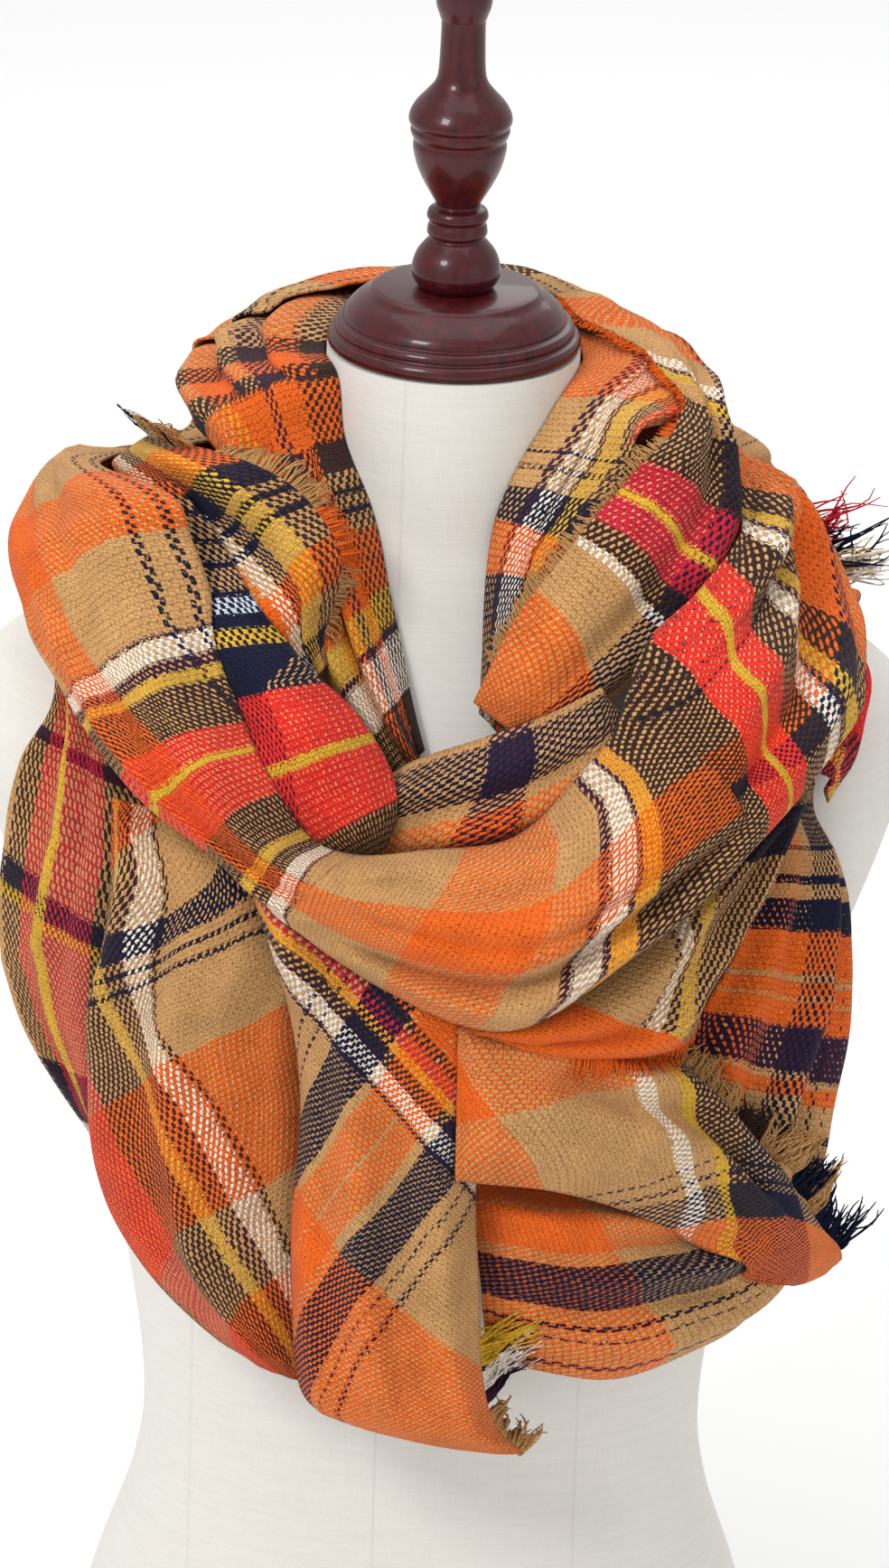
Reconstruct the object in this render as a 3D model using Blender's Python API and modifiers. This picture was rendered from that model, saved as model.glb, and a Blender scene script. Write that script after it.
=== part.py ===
"""A blanket scarf wound about a limbless tabletop dress form.

The cloth is a thin wall laid over the form in stretches, from the inside out. Each stretch is a short
table of cross sections. A section has an upper and a lower edge, each given by its turn about the neck
(degrees, 0 in front and positive towards +X), its reach from the neck's axis and its height, and a crown,
which is how far the cloth arches out between the two edges. Everything is worked out in millimetres and
turned into metres when a mesh is made. +Z is up, the front faces -Y, and the flat underside is at z = 0.
"""

import math

import bpy
import numpy as np

COLLECTION = "blanket_scarf_on_dress_form"
METRES = 0.001

# Driving sizes, in millimetres.
NECK_TOP = 663.0
NECK_RADIUS = 55.0
CAP_TOP = 690.0
FINIAL_TOP = 838.0
TOUCH_GAP = 0.3          # gap between hard pieces that stand on each other
CLOTH_WALL = 2.0
LAYER_GAP = 1.6          # air between one layer of cloth and the next
STRETCH_GAP = 1.8        # gap between two stretches of one run
RAY_RISE = math.tan(math.radians(20.0))   # climb of the rays along which layers are stacked
CROWN_POWER = 2.6        # how full the arch of a stretch is
CREASE_FADE = 0.18       # share of a stretch over which a crease starts or dies away
STRAND_WIDTH = 1.7
STRAND_WALL = 1.3
STRAND_SPREAD = 0.4      # how far strands lean to either side of straight out
STRIP_WIDTH = 2.4        # backing strip that the strands of a fringe are fused into
STRIP_GAP = 1.1          # gap between that strip and the edge of the cloth
SHORT_STRAND = 15.0      # strands shorter than this are straight

# How finely things are divided.
ACROSS_CELLS = 8
FORM_AROUND = 34
FORM_RINGS = 25
TURNED_STEPS = 24
SETTLE_PASSES = 4

LINEN = (0.76, 0.73, 0.68)
MAHOGANY = (0.09, 0.012, 0.012)
ORANGE = (0.76, 0.16, 0.03)
TAN = (0.55, 0.30, 0.11)
NAVY = (0.012, 0.014, 0.04)
RED = (0.76, 0.06, 0.06)
MUSTARD = (0.61, 0.35, 0.03)

# The form: height, half width, half depth, shift to the back, squareness of the oval.
FORM_SECTIONS = (
    (0, 166, 116, 6, 2.2),
    (70, 147, 106, 5, 2.2),
    (120, 131, 94, 2, 2.2),
    (165, 126, 88, 0, 2.2),
    (230, 134, 93, -2, 2.2),
    (300, 150, 102, -6, 2.3),
    (360, 168, 112, -9, 2.4),
    (405, 181, 116, -9, 2.5),
    (450, 197, 112, -5, 2.6),
    (485, 206, 101, 0, 2.7),
    (512, 201, 88, 4, 2.6),
    (532, 172, 80, 6, 2.4),
    (552, 130, 73, 6, 2.2),
    (572, 93, 66, 4, 2.1),
    (592, 69, 60, 2, 2.0),
    (618, 58, 57, 0, 2.0),
    (NECK_TOP, NECK_RADIUS, NECK_RADIUS, 0, 2.0),
)

# Cap and finial: radius and height, from the top down the outer side.
CAP_PROFILE = (
    (0, CAP_TOP), (34, CAP_TOP), (36.5, 689), (38.5, 687), (43, 684), (47, 680), (48.5, 677),
    (48.6, 675.6), (51.2, 674.6), (52.3, 672.5), (52, 670.6), (54.2, 669.4), (55.2, 667),
    (54.6, 664.6), (53, NECK_TOP + TOUCH_GAP), (0, NECK_TOP + TOUCH_GAP),
)
FINIAL_PROFILE = (
    (0, FINIAL_TOP), (4.5, 837.2), (8.6, 834.6), (11.4, 830), (12.4, 824), (12, 817), (10.2, 811.5),
    (9.6, 809), (9.7, 800), (10.2, 788), (11.5, 782.5), (15, 778), (19.5, 773), (22, 768.5),
    (22.4, 765), (21.2, 763), (21.6, 761), (21, 758.6), (20, 757), (20.3, 753), (18.6, 745.5),
    (15.6, 738.5), (12, 732), (9.6, 727.6), (10.2, 726.4), (12.6, 725), (13.4, 722), (12.3, 719.8),
    (12.9, 717.5), (13.1, 714.5), (11.6, 712.6), (13.6, 710.5), (17.4, 705.5), (19.4, 699),
    (18.8, 694.5), (16.2, CAP_TOP + TOUCH_GAP), (0, CAP_TOP + TOUCH_GAP),
)

# Runs of cloth, from the inside out. Columns: turn, reach, height of the upper edge; turn, reach, height
# of the lower edge; crown.
NECK_WRAP = (
    (-5, 97, 511, -9, 112, 503, 3),
    (-19, 76, 564, -25, 112, 535, 6),
    (-35, 65, 606, -37, 114, 582, 8),
    (-55, 61, 633, -50, 118, 615, 8),
    (-65, 60, 658, -65, 122, 637, 9),
    (-92, 61, 660, -92, 118, 628, 14),
    (-115, 62, 667, -115, 122, 620, 17),
    (-150, 63, 668, -150, 124, 600, 16),
    (-190, 63, 668, -190, 124, 598, 15),
    (-232, 63, 666, -232, 120, 610, 13),
    (-292, 59, 656, -304, 110, 651, 8),
    (-318, 61, 639, -314, 112, 628, 8),
    (-335, 66, 617, -326, 113, 604, 8),
    (-344, 74, 590, -336, 113, 574, 7),
    (-349, 96, 528, -346, 114, 524, 4),
)
CHECK_LAYER = (
    (-82, 134, 625, -90, 152, 602, 5),
    (-57, 126, 635, -78, 135, 594, 8),
    (-43, 121, 634, -64, 126, 583, 10),
    (-34, 112, 620, -49, 123, 572, 10),
    (-26, 112, 601, -37, 130, 563, 9),
    (-28, 115, 570, -32, 126, 550, 6),
    (-27, 118, 553, -28, 122, 542, 3),
)
COLLAR = (
    (-118, 84, 664, -114, 128, 618, 8),
    (-137, 74, 672, -135, 136, 604, 13),
    (-168, 72, 676, -168, 138, 596, 15),
    (-200, 70, 677, -200, 134, 602, 14),
    (-224, 65, 674, -226, 118, 624, 10),
    (-243, 62, 669, -250, 102, 646, 7),
    (-262, 74, 664, -270, 103, 640, 6),
    (-281, 89, 657, -284, 109, 645, 7),
    (-294, 100, 648, -290, 124, 637, 8),
    (-312, 118, 643, -290, 132, 615, 9),
    (-317, 115, 632, -295, 136, 597, 11),
    (-327, 116, 618, -303, 140, 583, 12),
    (-335, 114, 601, -309, 132, 562, 12),
    (-343, 112, 577, -321, 130, 546, 10),
    (-352, 108, 538, -339, 122, 519, 6),
)
UPPER_BAND = (
    (-19, 110, 490, -15, 124, 463, 4),
    (-6, 118, 513, -5, 130, 468, 10),
    (8, 121, 525, 13, 135, 479, 13),
    (19, 130, 537, 25, 141, 497, 12),
    (30, 136, 551, 38, 147, 520, 7),
)
LOWER_LOOP = (
    (-63, 172, 319, -54, 166, 321, 3),
    (-66, 182, 343, -53, 168, 352, 8),
    (-72, 190, 369, -53, 170, 385, 11),
    (-74, 196, 405, -50, 172, 427, 13),
    (-67, 204, 461, -48, 172, 465, 12),
    (-65, 203, 499, -50, 172, 491, 8),
    (-65, 189, 536, -59, 170, 526, 6),
    (-95, 180, 556, -90, 146, 580, 6),
    (-120, 172, 500, -118, 138, 582, 12),
    (-150, 166, 440, -150, 138, 566, 16),
    (-180, 166, 415, -180, 138, 556, 18),
    (-212, 170, 432, -212, 140, 562, 16),
    (-244, 178, 495, -244, 142, 578, 12),
    (-270, 172, 540, -272, 144, 566, 6),
    (-300, 189, 497, -307, 182, 513, 5),
    (-295, 193, 457, -306, 177, 469, 10),
    (-289, 189, 407, -308, 170, 431, 14),
    (-286, 184, 358, -313, 162, 399, 16),
    (-286, 178, 318, -316, 153, 365, 17),
    (-285, 172, 277, -319, 148, 330, 17),
    (-291, 164, 238, -324, 146, 313, 16),
    (-309, 154, 230, -331, 142, 317, 14),
    (-323, 148, 227, -339, 139, 320, 12),
    (-335, 144, 234, -346, 137, 324, 8),
    (-348, 142, 245, -352, 136, 326, 4),
)
LEFT_FALL = (
    (-46, 201, 503, -40, 160, 487, 4),
    (-45, 202, 471, -33, 154, 457, 8),
    (-47, 200, 439, -25, 150, 433, 13),
    (-50, 197, 405, -23, 148, 400, 17),
    (-52, 192, 370, -23, 146, 365, 20),
    (-54, 183, 329, -22, 145, 329, 21),
    (-55, 168, 289, -22, 144, 294, 19),
    (-47, 156, 257, -22, 143, 259, 14),
    (-33, 148, 236, -21, 141, 225, 8),
)
TAIL = (
    (-28, 151, 467, 12, 148, 421, 6),
    (-24, 158, 437, 9, 152, 387, 10),
    (-22, 158, 396, 8, 154, 352, 14),
    (-21, 160, 354, 8, 155, 316, 16),
    (-22, 160, 311, 9, 155, 280, 17),
    (-22, 157, 267, 10, 153, 244, 16),
    (-21, 152, 229, 13, 150, 214, 12),
    (-18, 146, 215, 19, 146, 197, 5),
)
SHOULDER_LAYER = (
    (88, 122, 604, 88, 146, 584, 3),
    (82, 134, 586, 84, 163, 563, 6),
    (75, 146, 560, 80, 174, 547, 9),
    (68, 156, 540, 77, 187, 532, 12),
    (60, 168, 530, 70, 192, 512, 10),
    (54, 182, 512, 62, 194, 492, 5),
)
FLAP = (
    (6, 163, 395, 6, 167, 340, 6),
    (18, 162, 398, 20, 161, 331, 12),
    (30, 166, 395, 33, 164, 317, 14),
    (40, 173, 386, 44, 171, 298, 12),
    (51, 184, 346, 54, 175, 273, 8),
    (65, 185, 301, 64, 177, 256, 5),
    (82, 192, 249, 84, 186, 237, 2),
)
UNDER_BAND = (
    (51, 190, 507, 56, 199, 508, 4),
    (43, 181, 482, 51, 198, 489, 8),
    (35, 175, 460, 46, 191, 454, 11),
    (29, 170, 441, 43, 182, 424, 12),
    (18, 164, 420, 37, 178, 396, 9),
    (9, 160, 408, 22, 168, 403, 4),
)
INNER_ROLL = (
    (-56, 149, 627, -86, 147, 587, 7),
    (-47, 138, 603, -76, 135, 563, 12),
    (-36, 136, 581, -62, 129, 540, 17),
    (-27, 141, 561, -47, 133, 523, 22),
    (-18, 131, 539, -33, 150, 508, 25),
    (-11, 129, 516, -26, 148, 484, 24),
    (-8, 134, 500, -20, 146, 474, 17),
    (-10, 138, 482, -15, 142, 471, 8),
)
OUTER_LOOP = (
    (-180, 125, 596, -180, 172, 468, 22),
    (-145, 128, 594, -145, 178, 490, 20),
    (-114, 134, 596, -116, 178, 550, 14),
    (-96, 145, 600, -100, 167, 596, 9),
    (-53, 160, 627, -92, 178, 574, 16),
    (-46, 157, 607, -75, 189, 566, 22),
    (-40, 157, 575, -65, 190, 552, 26),
    (-32, 168, 546, -49, 201, 533, 26),
    (-26, 172, 523, -37, 205, 507, 25),
    (-20, 167, 494, -30, 181, 480, 23),
    (-13, 161, 485, -20, 172, 456, 23),
    (-2, 152, 486, -7, 168, 429, 29),
    (13, 152, 492, 11, 171, 413, 34),
    (23, 157, 519, 27, 187, 446, 34),
    (32, 152, 543, 40, 203, 487, 31),
    (36, 156, 578, 49, 211, 520, 27),
    (58, 127, 597, 66, 180, 537, 22),
    (74, 124, 611, 80, 153, 559, 15),
    (94, 115, 623, 96, 137, 582, 9),
    (114, 118, 616, 114, 176, 548, 14),
    (148, 124, 600, 148, 178, 490, 20),
    (180, 125, 596, 180, 172, 468, 22),
)

# Long creases: across the stretch at its start and end (0 upper edge, 1 lower edge), depth, half width
# (as a share of the stretch's width), and the share of the stretch's length where it begins and ends.
CREASES = {
    "neck_left": ((0.25, 0.25, 5, 0.08, -0.2, 0.9), (0.62, 0.50, 7, 0.10, -0.2, 1.0)),
    "neck_back": ((0.25, 0.30, 6, 0.08, -0.2, 0.8), (0.60, 0.50, 7, 0.09, -0.2, 1.0)),
    "neck_right": ((0.45, 0.55, 4, 0.12, 0.0, 1.0),),
    "check_layer": ((0.45, 0.50, 6, 0.12, 0.1, 1.0),),
    "collar_back": ((0.35, 0.30, 8, 0.10, 0.0, 1.0), (0.68, 0.62, 9, 0.09, 0.05, 1.0)),
    "collar_right": ((0.45, 0.55, 6, 0.11, 0.1, 1.0),),
    "upper_band": ((0.55, 0.50, 5, 0.14, 0.1, 0.9),),
    "outer_fall": ((0.35, 0.45, 7, 0.12, 0.0, 1.0),),
    "lower_back": ((0.30, 0.35, 10, 0.07, 0.0, 1.0), (0.62, 0.58, 11, 0.07, 0.05, 1.0)),
    "right_fall": ((0.30, 0.40, 9, 0.09, 0.05, 1.0), (0.70, 0.66, 8, 0.09, 0.0, 0.9)),
    "left_fall": ((0.80, 0.86, 9, 0.10, 0.05, 1.0), (0.30, 0.42, 6, 0.10, 0.0, 0.9)),
    "tail": ((0.10, 0.32, 6, 0.10, 0.15, 1.0), (0.55, 0.70, 6, 0.12, 0.2, 1.0)),
    "corner_flap": ((0.30, 0.45, 8, 0.10, 0.0, 0.8),),
    "under_band": ((0.50, 0.55, 6, 0.14, 0.1, 1.0),),
    "shoulder_layer": ((0.45, 0.50, 6, 0.14, 0.0, 1.0),),
    "inner_roll": (),
    "back_swag_left": (
        (0.22, 0.25, 7, 0.07, 0.0, 1.2), (0.52, 0.50, 10, 0.08, -0.2, 1.0), (0.78, 0.74, 8, 0.06, -0.2, 0.9),
    ),
    "left_roll": ((0.40, 0.62, 6, 0.13, 0.1, 1.1), (0.75, 0.80, 4, 0.08, 0.3, 1.0)),
    "front_swag": ((0.80, 0.70, 15, 0.08, 0.05, 1.05), (0.25, 0.38, 5, 0.10, 0.0, 0.8)),
    "right_roll": ((0.62, 0.50, 10, 0.09, -0.1, 1.1), (0.25, 0.30, 6, 0.08, 0.0, 0.9)),
    "back_swag_right": (
        (0.25, 0.22, 7, 0.07, -0.2, 1.0), (0.50, 0.52, 10, 0.08, 0.0, 1.2), (0.74, 0.78, 8, 0.06, 0.1, 1.2),
    ),
}

# Runs from the inside out. For each: its table; its stretches with the section where each ends and its
# cells along; their colours; and its fringes with the stretch they edge, colour, edge (0 upper, 1 lower),
# share of the edge, strands, length of a strand and how much it droops.
RUNS = (
    (NECK_WRAP, (
        ("neck_left", 4, 11), ("neck_back", 9, 12), ("neck_right", 14, 11),
    ), (TAN, ORANGE, TAN), ()),
    (CHECK_LAYER, (("check_layer", 6, 11),), (NAVY,), (
        ("check_tuft", "check_layer", NAVY, 0, (0.0, 0.12), 6, 22, 0.1),
        ("check_fringe", "check_layer", TAN, 0, (0.16, 0.8), 16, 11, 0.2),
    )),
    (COLLAR, (("collar_back", 4, 9), ("collar_right", 14, 20)), (ORANGE, RED), (
        ("collar_fringe", "collar_right", ORANGE, 0, (0.02, 0.99), 26, 9, 0.1),
    )),
    (UPPER_BAND, (("upper_band", 4, 9),), (NAVY,), ()),
    (LOWER_LOOP, (
        ("outer_fall", 7, 12), ("lower_back", 14, 16), ("right_fall", 24, 18),
    ), (RED, TAN, ORANGE), ()),
    (LEFT_FALL, (("left_fall", 8, 13),), (MUSTARD,), ()),
    (TAIL, (("tail", 7, 13),), (TAN,), (
        ("tail_tuft", "tail", MUSTARD, 1, (0.70, 0.80), 6, 34, 0.15),
        ("tail_fringe", "tail", TAN, 1, (0.83, 0.99), 8, 27, 0.7),
    )),
    (FLAP, (("corner_flap", 6, 12),), (TAN,), (
        ("flap_fringe", "corner_flap", TAN, 0, (0.42, 0.98), 17, 20, 0.4),
    )),
    (UNDER_BAND, (("under_band", 5, 9),), (RED,), (
        ("band_fringe", "under_band", ORANGE, 1, (0.6, 0.95), 10, 9, 0.6),
    )),
    (SHOULDER_LAYER, (("shoulder_layer", 5, 9),), (RED,), (
        ("shoulder_tuft", "shoulder_layer", RED, 1, (0.02, 0.24), 9, 36, 0.25),
    )),
    (INNER_ROLL, (("inner_roll", 7, 13),), (RED,), ()),
    (OUTER_LOOP, (
        ("back_swag_left", 2, 8), ("left_roll", 10, 18), ("front_swag", 14, 12), ("right_roll", 19, 14),
        ("back_swag_right", 21, 8),
    ), (TAN, ORANGE, ORANGE, RED, TAN), ()),
)


def clear_scene():
    for item in list(bpy.data.objects):
        bpy.data.objects.remove(item, do_unlink=True)


def make_collection(name):
    collection = bpy.data.collections.new(name)
    bpy.context.scene.collection.children.link(collection)
    return collection


def make_material(name, colour, roughness):
    material = bpy.data.materials.new(name)
    material.use_nodes = True
    shader = material.node_tree.nodes["Principled BSDF"]
    shader.inputs["Base Color"].default_value = (*colour, 1.0)
    shader.inputs["Roughness"].default_value = roughness
    return material


def make_object(name, points, faces, collection, colour, roughness):
    """A smooth object from points in millimetres."""
    mesh = bpy.data.meshes.new(name)
    mesh.from_pydata((np.asarray(points) * METRES).tolist(), [], faces)
    mesh.update()
    mesh.shade_smooth()
    mesh.set_sharp_from_angle(angle=math.radians(50))
    mesh.materials.append(make_material(name, colour, roughness))
    item = bpy.data.objects.new(name, mesh)
    collection.objects.link(item)
    return item


def smooth_columns(rows, samples):
    """Every column of a table read along a curve that passes smoothly through its rows."""
    table = np.asarray(rows, dtype=float)
    last = len(table) - 1
    where = np.clip(np.asarray(samples, dtype=float), 0.0, 1.0) * last
    low = np.minimum(where.astype(int), last - 1)
    share = (where - low)[:, None]
    before = table[np.maximum(low - 1, 0)]
    here, after = table[low], table[low + 1]
    beyond = table[np.minimum(low + 2, last)]
    slope_in = (after - before) / 2
    slope_out = (beyond - here) / 2
    return (
        (2 * share**3 - 3 * share**2 + 1) * here
        + (share**3 - 2 * share**2 + share) * slope_in
        + (3 * share**2 - 2 * share**3) * after
        + (share**3 - share**2) * slope_out
    )


def straight_columns(rows, stations):
    """Columns of a table at stations from 0 to 1, in straight steps from row to row."""
    known = np.linspace(0.0, 1.0, len(rows))
    return np.column_stack([np.interp(stations, known, column) for column in np.asarray(rows).T])


def place(turn, launch, reach):
    """Points from turn (degrees), launch height and reach: a ray leaves the axis at its launch height."""
    angle = np.radians(turn)
    return np.stack((reach * np.sin(angle), -reach * np.cos(angle), launch + reach * RAY_RISE), axis=-1)


def locate(points):
    """The turn, launch height and reach of points: the reverse of place."""
    reach = np.hypot(points[..., 0], points[..., 1])
    turn = np.degrees(np.arctan2(points[..., 0], -points[..., 1]))
    return turn, points[..., 2] - reach * RAY_RISE, reach


def triangles_of(rows, columns):
    """Two triangles for each cell of a grid of points."""
    first = (np.arange(rows - 1)[:, None] * columns + np.arange(columns - 1)).ravel()
    lower = np.stack((first, first + columns, first + columns + 1), axis=1)
    upper = np.stack((first, first + columns + 1, first + 1), axis=1)
    return np.concatenate((lower, upper))


def sample_triangles(values, faces, steps):
    """Values spread evenly over each triangle: an array of triangles by samples by columns."""
    a, b = np.meshgrid(np.arange(steps + 1), np.arange(steps + 1))
    keep = a + b <= steps
    share_b, share_c = a[keep] / steps, b[keep] / steps
    corners = values[faces]
    return (
        corners[:, None, 0] * (1 - share_b - share_c)[:, None]
        + corners[:, None, 1] * share_b[:, None]
        + corners[:, None, 2] * share_c[:, None]
    )


class Relief:
    """How far the pieces placed so far reach, kept on a grid of turn and launch height."""

    TURN_STEP = 1.0
    LAUNCH_STEP = 2.5
    LAUNCH_LOW = -60.0
    LAUNCH_CELLS = 320

    def __init__(self):
        self.reach = np.zeros((int(360 / self.TURN_STEP), self.LAUNCH_CELLS))

    def cells(self, turn, launch):
        column = np.floor(turn / self.TURN_STEP).astype(int) % self.reach.shape[0]
        row = np.floor((launch - self.LAUNCH_LOW) / self.LAUNCH_STEP).astype(int)
        return column, np.clip(row, 0, self.LAUNCH_CELLS - 1)

    def add(self, points, faces, steps=10):
        turn, launch, reach = locate(sample_triangles(points, faces, steps).reshape(-1, 3))
        column, row = self.cells(turn, launch)
        layer = np.zeros_like(self.reach)
        np.maximum.at(layer, (column, row), reach)
        for axis, shift in ((0, 1), (0, -1), (1, 1), (1, -1)):
            layer = np.maximum(layer, np.roll(layer, shift, axis=axis))
        self.reach = np.maximum(self.reach, layer)

    def under(self, turn, launch):
        column, row = self.cells(turn, launch)
        return self.reach[column, row]


def blur(values, passes):
    """Each value averaged with its neighbours on the grid, with the borders held."""
    for _ in range(passes):
        edged = np.pad(values, 1, mode="edge")
        beside = edged[:-2, 1:-1] + edged[2:, 1:-1] + edged[1:-1, :-2] + edged[1:-1, 2:]
        values = (edged[1:-1, 1:-1] * 2 + beside) / 6
    return values


def settle(turn, launch, reach, depth, relief):
    """Move a sheet out along its rays until all of it clears what lies under it, creases and all."""
    rows, columns = reach.shape
    faces = triangles_of(rows, columns)
    for _ in range(SETTLE_PASSES):
        points = place(turn, launch, reach).reshape(-1, 3)
        samples = sample_triangles(np.column_stack((points, depth.ravel())), faces, 7)
        at_turn, at_launch, at_reach = locate(samples[..., :3])
        below = relief.under(at_turn, at_launch)
        short = np.where(below > 0, below + LAYER_GAP + samples[..., 3] - at_reach, 0.0).max(axis=1)
        push = np.zeros(rows * columns)
        np.maximum.at(push, faces.ravel(), np.repeat(np.maximum(short, 0.0), 3))
        push = push.reshape(rows, columns)
        if push.max() < 0.01:
            break
        reach = reach + np.maximum(push, blur(push, 2))
    return reach


def crease_depth(creases, along, across):
    """How deep the long creases run at each point of a stretch."""
    depth = np.zeros(np.broadcast(along, across).shape)
    for start, end, deep, half_width, begins, ends in creases:
        centre = start + (end - start) * along
        bell = np.exp(-(((across - centre) / half_width) ** 2))
        inside = np.clip((along - begins) / CREASE_FADE, 0, 1) * np.clip((ends - along) / CREASE_FADE, 0, 1)
        depth = depth + deep * bell * inside
    return depth


def lay_run(rows, cells, relief):
    """A run of cloth, clear of all that is under it, cut into its stretches.

    cells has a row for each stretch: its name, the section where it ends, and its cells along. The run
    is worked out and settled whole, so that its stretches meet, and then parted by a small gap.
    """
    sections = [0] + [end for _, end, _ in cells]
    counts = [count for _, _, count in cells]
    last = len(rows) - 1
    stations = [np.linspace(a, b, n + 1) for a, b, n in zip(sections, sections[1:], counts)]
    whole = np.concatenate([stations[0]] + [station[1:] for station in stations[1:]]) / last
    columns = smooth_columns(rows, whole)
    across = np.linspace(0.0, 1.0, ACROSS_CELLS + 1)[None, :]
    top_turn, top_reach, top_height, low_turn, low_reach, low_height, crown = columns.T[:, :, None]
    arch = 1.0 - np.abs(2.0 * across - 1.0) ** CROWN_POWER
    turn = top_turn + (low_turn - top_turn) * across
    edge_reach = top_reach + (low_reach - top_reach) * across
    launch = top_height + (low_height - top_height) * across - edge_reach * RAY_RISE
    depths = [
        crease_depth(CREASES[name], np.linspace(0.0, 1.0, count + 1)[:, None], across)
        for name, _, count in cells
    ]
    depth = np.concatenate([depths[0]] + [part[1:] for part in depths[1:]])
    reach = settle(turn, launch, edge_reach + crown * arch, depth, relief) - depth
    grids = {}
    start = 0
    for name, _, count in cells:
        pick = slice(start, start + count + 1)
        grids[name] = parted(place(turn[pick], launch[pick], reach[pick]))
        start += count
    return grids


def parted(points):
    """A stretch's points with each end drawn in by half the gap between two stretches."""
    points = points.copy()
    for end, beside in ((0, 1), (-1, -2)):
        inward = points[beside] - points[end]
        points[end] += inward / np.linalg.norm(inward, axis=1, keepdims=True) * STRETCH_GAP / 2
    return points


def facing_out(points, faces):
    """The triangles, turned over as one if most of them face the axis."""
    corners = points[faces]
    normals = np.cross(corners[:, 1] - corners[:, 0], corners[:, 2] - corners[:, 0])
    outwards = corners.mean(axis=1) * (1.0, 1.0, 0.0)
    return faces if (normals * outwards).sum() > 0 else faces[:, ::-1]


def outer_face(points, faces, wall):
    """The points of a sheet's outer face: each point moved along the mean of its triangles' normals."""
    corners = points[faces]
    normals = np.cross(corners[:, 1] - corners[:, 0], corners[:, 2] - corners[:, 0])
    total = np.zeros_like(points)
    for corner in range(3):
        np.add.at(total, faces[:, corner], normals)
    return points + wall * total / np.linalg.norm(total, axis=1, keepdims=True)


def add_wall(item, wall):
    thick = item.modifiers.new("wall", "SOLIDIFY")
    thick.thickness = wall * METRES
    thick.offset = 1.0
    thick.use_rim = True


def make_cloth(name, grid, relief, collection, colour):
    """A stretch of cloth: an open sheet given a wall on its outer side."""
    points = grid.reshape(-1, 3)
    faces = facing_out(points, triangles_of(*grid.shape[:2]))
    item = make_object(name, points, faces.tolist(), collection, colour, 0.95)
    add_wall(item, CLOTH_WALL)
    relief.add(points, faces)
    relief.add(outer_face(points, faces, CLOTH_WALL), faces)
    return item


def loft_rings(sections, around):
    """Oval rings carried up the form, with exponent n in |x/a|^n + |y/b|^n = 1."""
    angle = np.radians(np.arange(around) * 360.0 / around)[None, :]
    height, half_width, half_depth, back, square = np.asarray(sections, dtype=float).T[:, :, None]
    sine, cosine = np.sin(angle), -np.cos(angle)
    size = (np.abs(sine / half_width) ** square + np.abs(cosine / half_depth) ** square) ** (-1.0 / square)
    return np.stack((size * sine, size * cosine + back, height + 0.0 * size), axis=-1)


def make_form(relief, collection):
    """The torso: a loft between ovals, closed by a flat underside and a flat neck top."""
    around = FORM_AROUND
    rings = loft_rings(smooth_columns(FORM_SECTIONS, np.linspace(0.0, 1.0, FORM_RINGS)), around)
    count = len(rings)
    points = np.concatenate((rings.reshape(-1, 3), ((0, 0, rings[0, 0, 2]), (0, 0, rings[-1, 0, 2]))))
    faces = []
    for ring in range(count - 1):
        for side in range(around):
            after = (side + 1) % around
            low, high = ring * around, (ring + 1) * around
            faces.append((low + side, low + after, high + after))
            faces.append((low + side, high + after, high + side))
    foot, crown = count * around, count * around + 1
    for side in range(around):
        after = (side + 1) % around
        faces.append((foot, after, side))
        faces.append((crown, (count - 1) * around + side, (count - 1) * around + after))
    item = make_object("form_torso", points, faces, collection, LINEN, 0.9)
    relief.add(points, np.asarray(faces), steps=16)
    return item


def make_turned(name, profile, collection):
    """A turned piece: a profile at +X, spun about the axis."""
    mesh = bpy.data.meshes.new(name)
    points = [(radius * METRES, 0.0, height * METRES) for radius, height in profile]
    mesh.from_pydata(points, [(i, i + 1) for i in range(len(points) - 1)], [])
    item = bpy.data.objects.new(name, mesh)
    mesh.materials.append(make_material(name, MAHOGANY, 0.25))
    collection.objects.link(item)
    spin = item.modifiers.new("turned", "SCREW")
    spin.steps = TURNED_STEPS
    spin.render_steps = TURNED_STEPS
    spin.use_merge_vertices = True
    spin.merge_threshold = 0.00001
    spin.use_smooth_shade = True
    return item


def lift_strands(points, faces, fixed, relief):
    """Strands lifted clear of what lies under them; the first points, those of the strip, stay."""
    turn, launch, reach = locate(points)
    for _ in range(SETTLE_PASSES):
        samples = sample_triangles(place(turn, launch, reach), faces, 5)
        at_turn, at_launch, at_reach = locate(samples)
        below = relief.under(at_turn, at_launch)
        short = np.where(below > 0, below + LAYER_GAP - at_reach, 0.0).max(axis=1)
        push = np.zeros(len(points))
        np.maximum.at(push, faces.ravel(), np.repeat(np.maximum(short, 0.0), 3))
        push[:fixed] = 0.0
        reach = reach + push
    return place(turn, launch, reach)


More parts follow.
